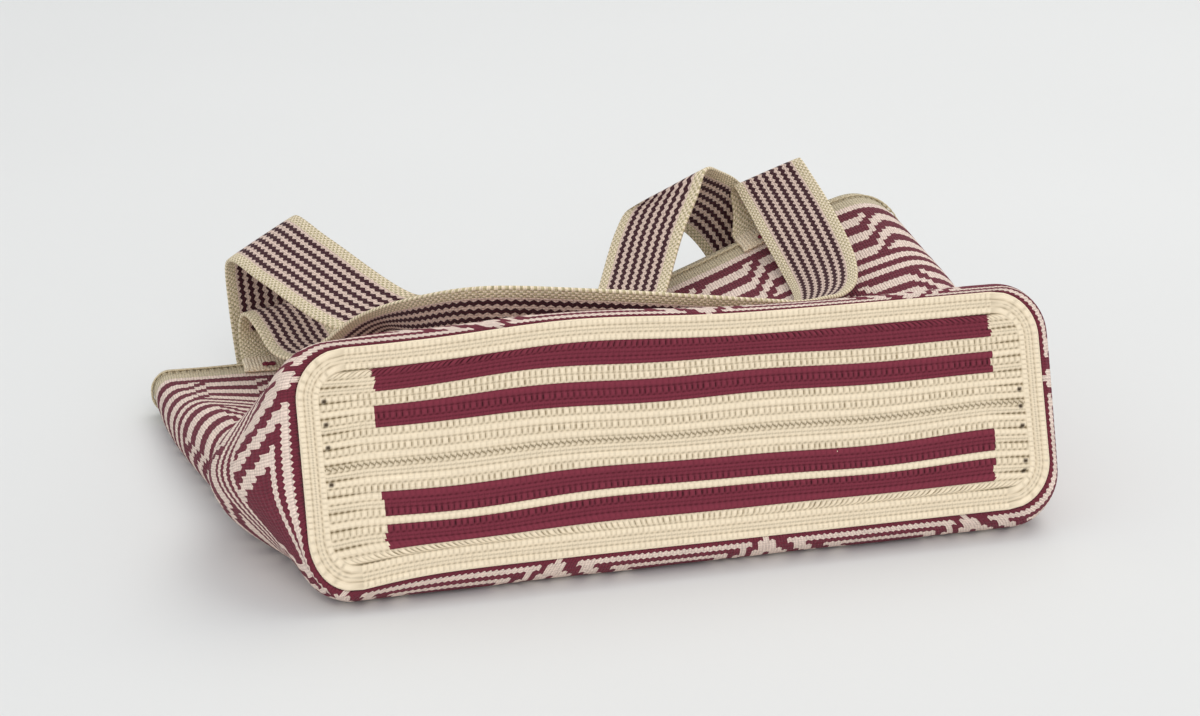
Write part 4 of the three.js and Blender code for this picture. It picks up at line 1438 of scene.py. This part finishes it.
class TOTE_OT_edging(bpy.types.Operator):
    """Works the chain of loops along the rim, the seams below the tabs and the knots on them"""

    bl_idname = "tote.edging"
    bl_label = "Rim chain, seam stitches and knots"

    def execute(self, context):
        sizes, colours = context.scene.tote_sizes, context.scene.tote_colours
        tree = loops_on_paths()
        cream = yarn_cotton("plied_cotton_yarn_cream", colours.cream)
        unbleached = yarn_cotton("plied_cotton_yarn_unbleached", colours.rim)
        burgundy = yarn_cotton("plied_cotton_yarn_burgundy", colours.burgundy)
        rim = spaced_ring(1 - CHAIN_DROP / WALL_HEIGHT, CHAIN_POINTS, 0.0)
        below = spaced_ring(1 - 2 * NEAR - CHAIN_DROP / WALL_HEIGHT, CHAIN_POINTS, 0.0)
        around = np.roll(rim, -1, axis=0) - np.roll(rim, 1, axis=0)
        inward = unit(np.cross(around, unit(rim - below)))
        chain = [rim - inward * CHAIN_LIFT]
        seams, knots = [], []
        for _, centre, is_upper in TABS:
            x = centre + np.linspace(-SEAM_HALF_SHARE, SEAM_HALF_SHARE, SEAM_POINTS) * STRAP_WIDTH
            point, outward = panel_face(x, 1 - TAB_SHARE, is_upper)
            seams.append(point + outward * SEAM_LIFT)
            # the lower tabs lie on their knots, which are pressed in
            x = centre + np.linspace(*KNOT_SPAN, KNOT_POINTS) * STRAP_WIDTH
            point, outward = panel_face(x, 1 - KNOT_SHARE * TAB_SHARE, is_upper)
            lift = KNOT_LIFT if is_upper else -KNOT_PRESS
            knots.append(point + outward * (SEAM_GAP + TAB_THICKNESS + lift))
        step, radius = sizes.chain_step, sizes.yarn / 2
        # step, length and width of the loops, thickness of their yarn, and how far they lean over
        kinds = (
            ("rim_chain", chain, unbleached, step, 1.12 * step, 5.2 * MM, radius * 0.7, 0.35),
            ("tab_stitches", seams, cream, 3.2 * MM, 2.4 * MM, 2.8 * MM, radius * 0.8, 0.5),
            ("tab_knots", knots, burgundy, 2.4 * MM, 3.6 * MM, 3.0 * MM, radius, 0.9),
        )
        for name, paths, yarn, *values in kinds:
            values = dict(zip(LOOP_SIZES, values), Yarn=yarn)
            made = loops_piece(name, paths, paths is chain, tree, values)
            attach(made, "root")
        return {"FINISHED"}


class TOTE_OT_studio(bpy.types.Operator):
    """Sets the pale paper sweep, the soft lights and the camera"""

    bl_idname = "tote.studio"
    bl_label = "Studio"

    focal: FloatProperty(name="Focal length", description="Lens of the camera in mm", default=72.0)

    def execute(self, context):
        scene = context.scene
        scene.view_settings.view_transform = "Standard"
        # paper sweep: flat floor, a wide curve and a standing back
        turn = np.linspace(0, math.pi / 2, SWEEP_BEND_LINES)
        bend = zip(SWEEP_DEPTH + SWEEP_BEND * np.sin(turn), SWEEP_BEND * (1 - np.cos(turn)))
        profile = [(SWEEP_FRONT, 0.0), *bend, (SWEEP_DEPTH + SWEEP_BEND, SWEEP_TOP)]
        columns = np.linspace(-SWEEP_HALF_WIDTH, SWEEP_HALF_WIDTH, SWEEP_COLUMNS)
        points = np.array([(x, y, z) for y, z in profile for x in columns]) / MM - SHIFT
        faces = grid_faces(len(profile), SWEEP_COLUMNS, False)[0]
        piece("paper_sweep", points, faces, floor_paper(scene.tote_colours))

        world = bpy.data.worlds.new("studio_air")
        scene.world = world
        world.use_nodes = True
        world.node_tree.nodes.clear()
        air = {"Color": linear("#F6F8FA"), "Strength": 0.78}
        air = add(world.node_tree, "ShaderNodeBackground", {}, air)
        add(world.node_tree, "ShaderNodeOutputWorld", {}, {"Surface": air})

        # each softbox: where it stands and aims, its side in metres and its power in watts
        lamps = (
            ("overhead_softbox", (0.9, 0.9, 2.6), (0.0, 0.0, 0.05), 2.2, 26.0),
            ("front_softbox", (-0.3, -3.2, 2.2), (0.0, -0.1, 0.06), 2.2, 31.0),
        )
        for name, stand, aim, side, power in lamps:
            data = bpy.data.lights.new(name, "AREA")
            data.shape = "SQUARE"
            data.size = side
            data.energy = power
            data.color = linear("#FFFBF5")[:3]
            lamp = bpy.data.objects.new(name, data)
            lamp.location = stand
            lamp.rotation_euler = (Vector(aim) - Vector(stand)).to_track_quat("-Z", "Y").to_euler()
            scene.collection.objects.link(lamp)

        flat = math.cos(CAMERA_RISE)
        back = (-math.sin(CAMERA_TURN) * flat, -math.cos(CAMERA_TURN) * flat, math.sin(CAMERA_RISE))
        back = Vector(back)
        data = bpy.data.cameras.new("camera")
        data.sensor_width = 36.0
        data.lens = self.focal
        camera = bpy.data.objects.new("camera", data)
        camera.location = Vector((CAMERA_AIM + SHIFT) * MM) + back * CAMERA_DISTANCE
        camera.rotation_euler = (-back).to_track_quat("-Z", "Y").to_euler()
        scene.collection.objects.link(camera)
        scene.camera = camera
        return {"FINISHED"}


PIECES = (TOTE_OT_studio, TOTE_OT_base, TOTE_OT_wall, TOTE_OT_straps, TOTE_OT_tabs, TOTE_OT_edging)


class TOTE_PT_panel(bpy.types.Panel):
    """Lists the bag's sizes, colours and pieces"""

    bl_label = "Tote bag"
    bl_idname = "TOTE_PT_panel"
    bl_space_type = "VIEW_3D"
    bl_region_type = "UI"
    bl_category = "Tote bag"

    def draw(self, context):
        for group in (context.scene.tote_sizes, context.scene.tote_colours):
            for label in group.bl_rna.properties.keys():
                if label not in ("rna_type", "name"):
                    self.layout.prop(group, label)
        for operator in PIECES:
            self.layout.operator(operator.bl_idname)


CLASSES = (ToteSizes, ToteColours, *PIECES, TOTE_PT_panel)


def register():
    for one in CLASSES:
        bpy.utils.register_class(one)
    bpy.types.Scene.tote_sizes = PointerProperty(type=ToteSizes)
    bpy.types.Scene.tote_colours = PointerProperty(type=ToteColours)


def unregister():
    del bpy.types.Scene.tote_colours
    del bpy.types.Scene.tote_sizes
    for one in reversed(CLASSES):
        bpy.utils.unregister_class(one)


def main():
    register()
    bpy.ops.tote.studio()
    bpy.ops.tote.base()
    bpy.ops.tote.wall()
    bpy.ops.tote.straps()
    bpy.ops.tote.tabs()
    bpy.ops.tote.edging()


if __name__ == "__main__":
    main()
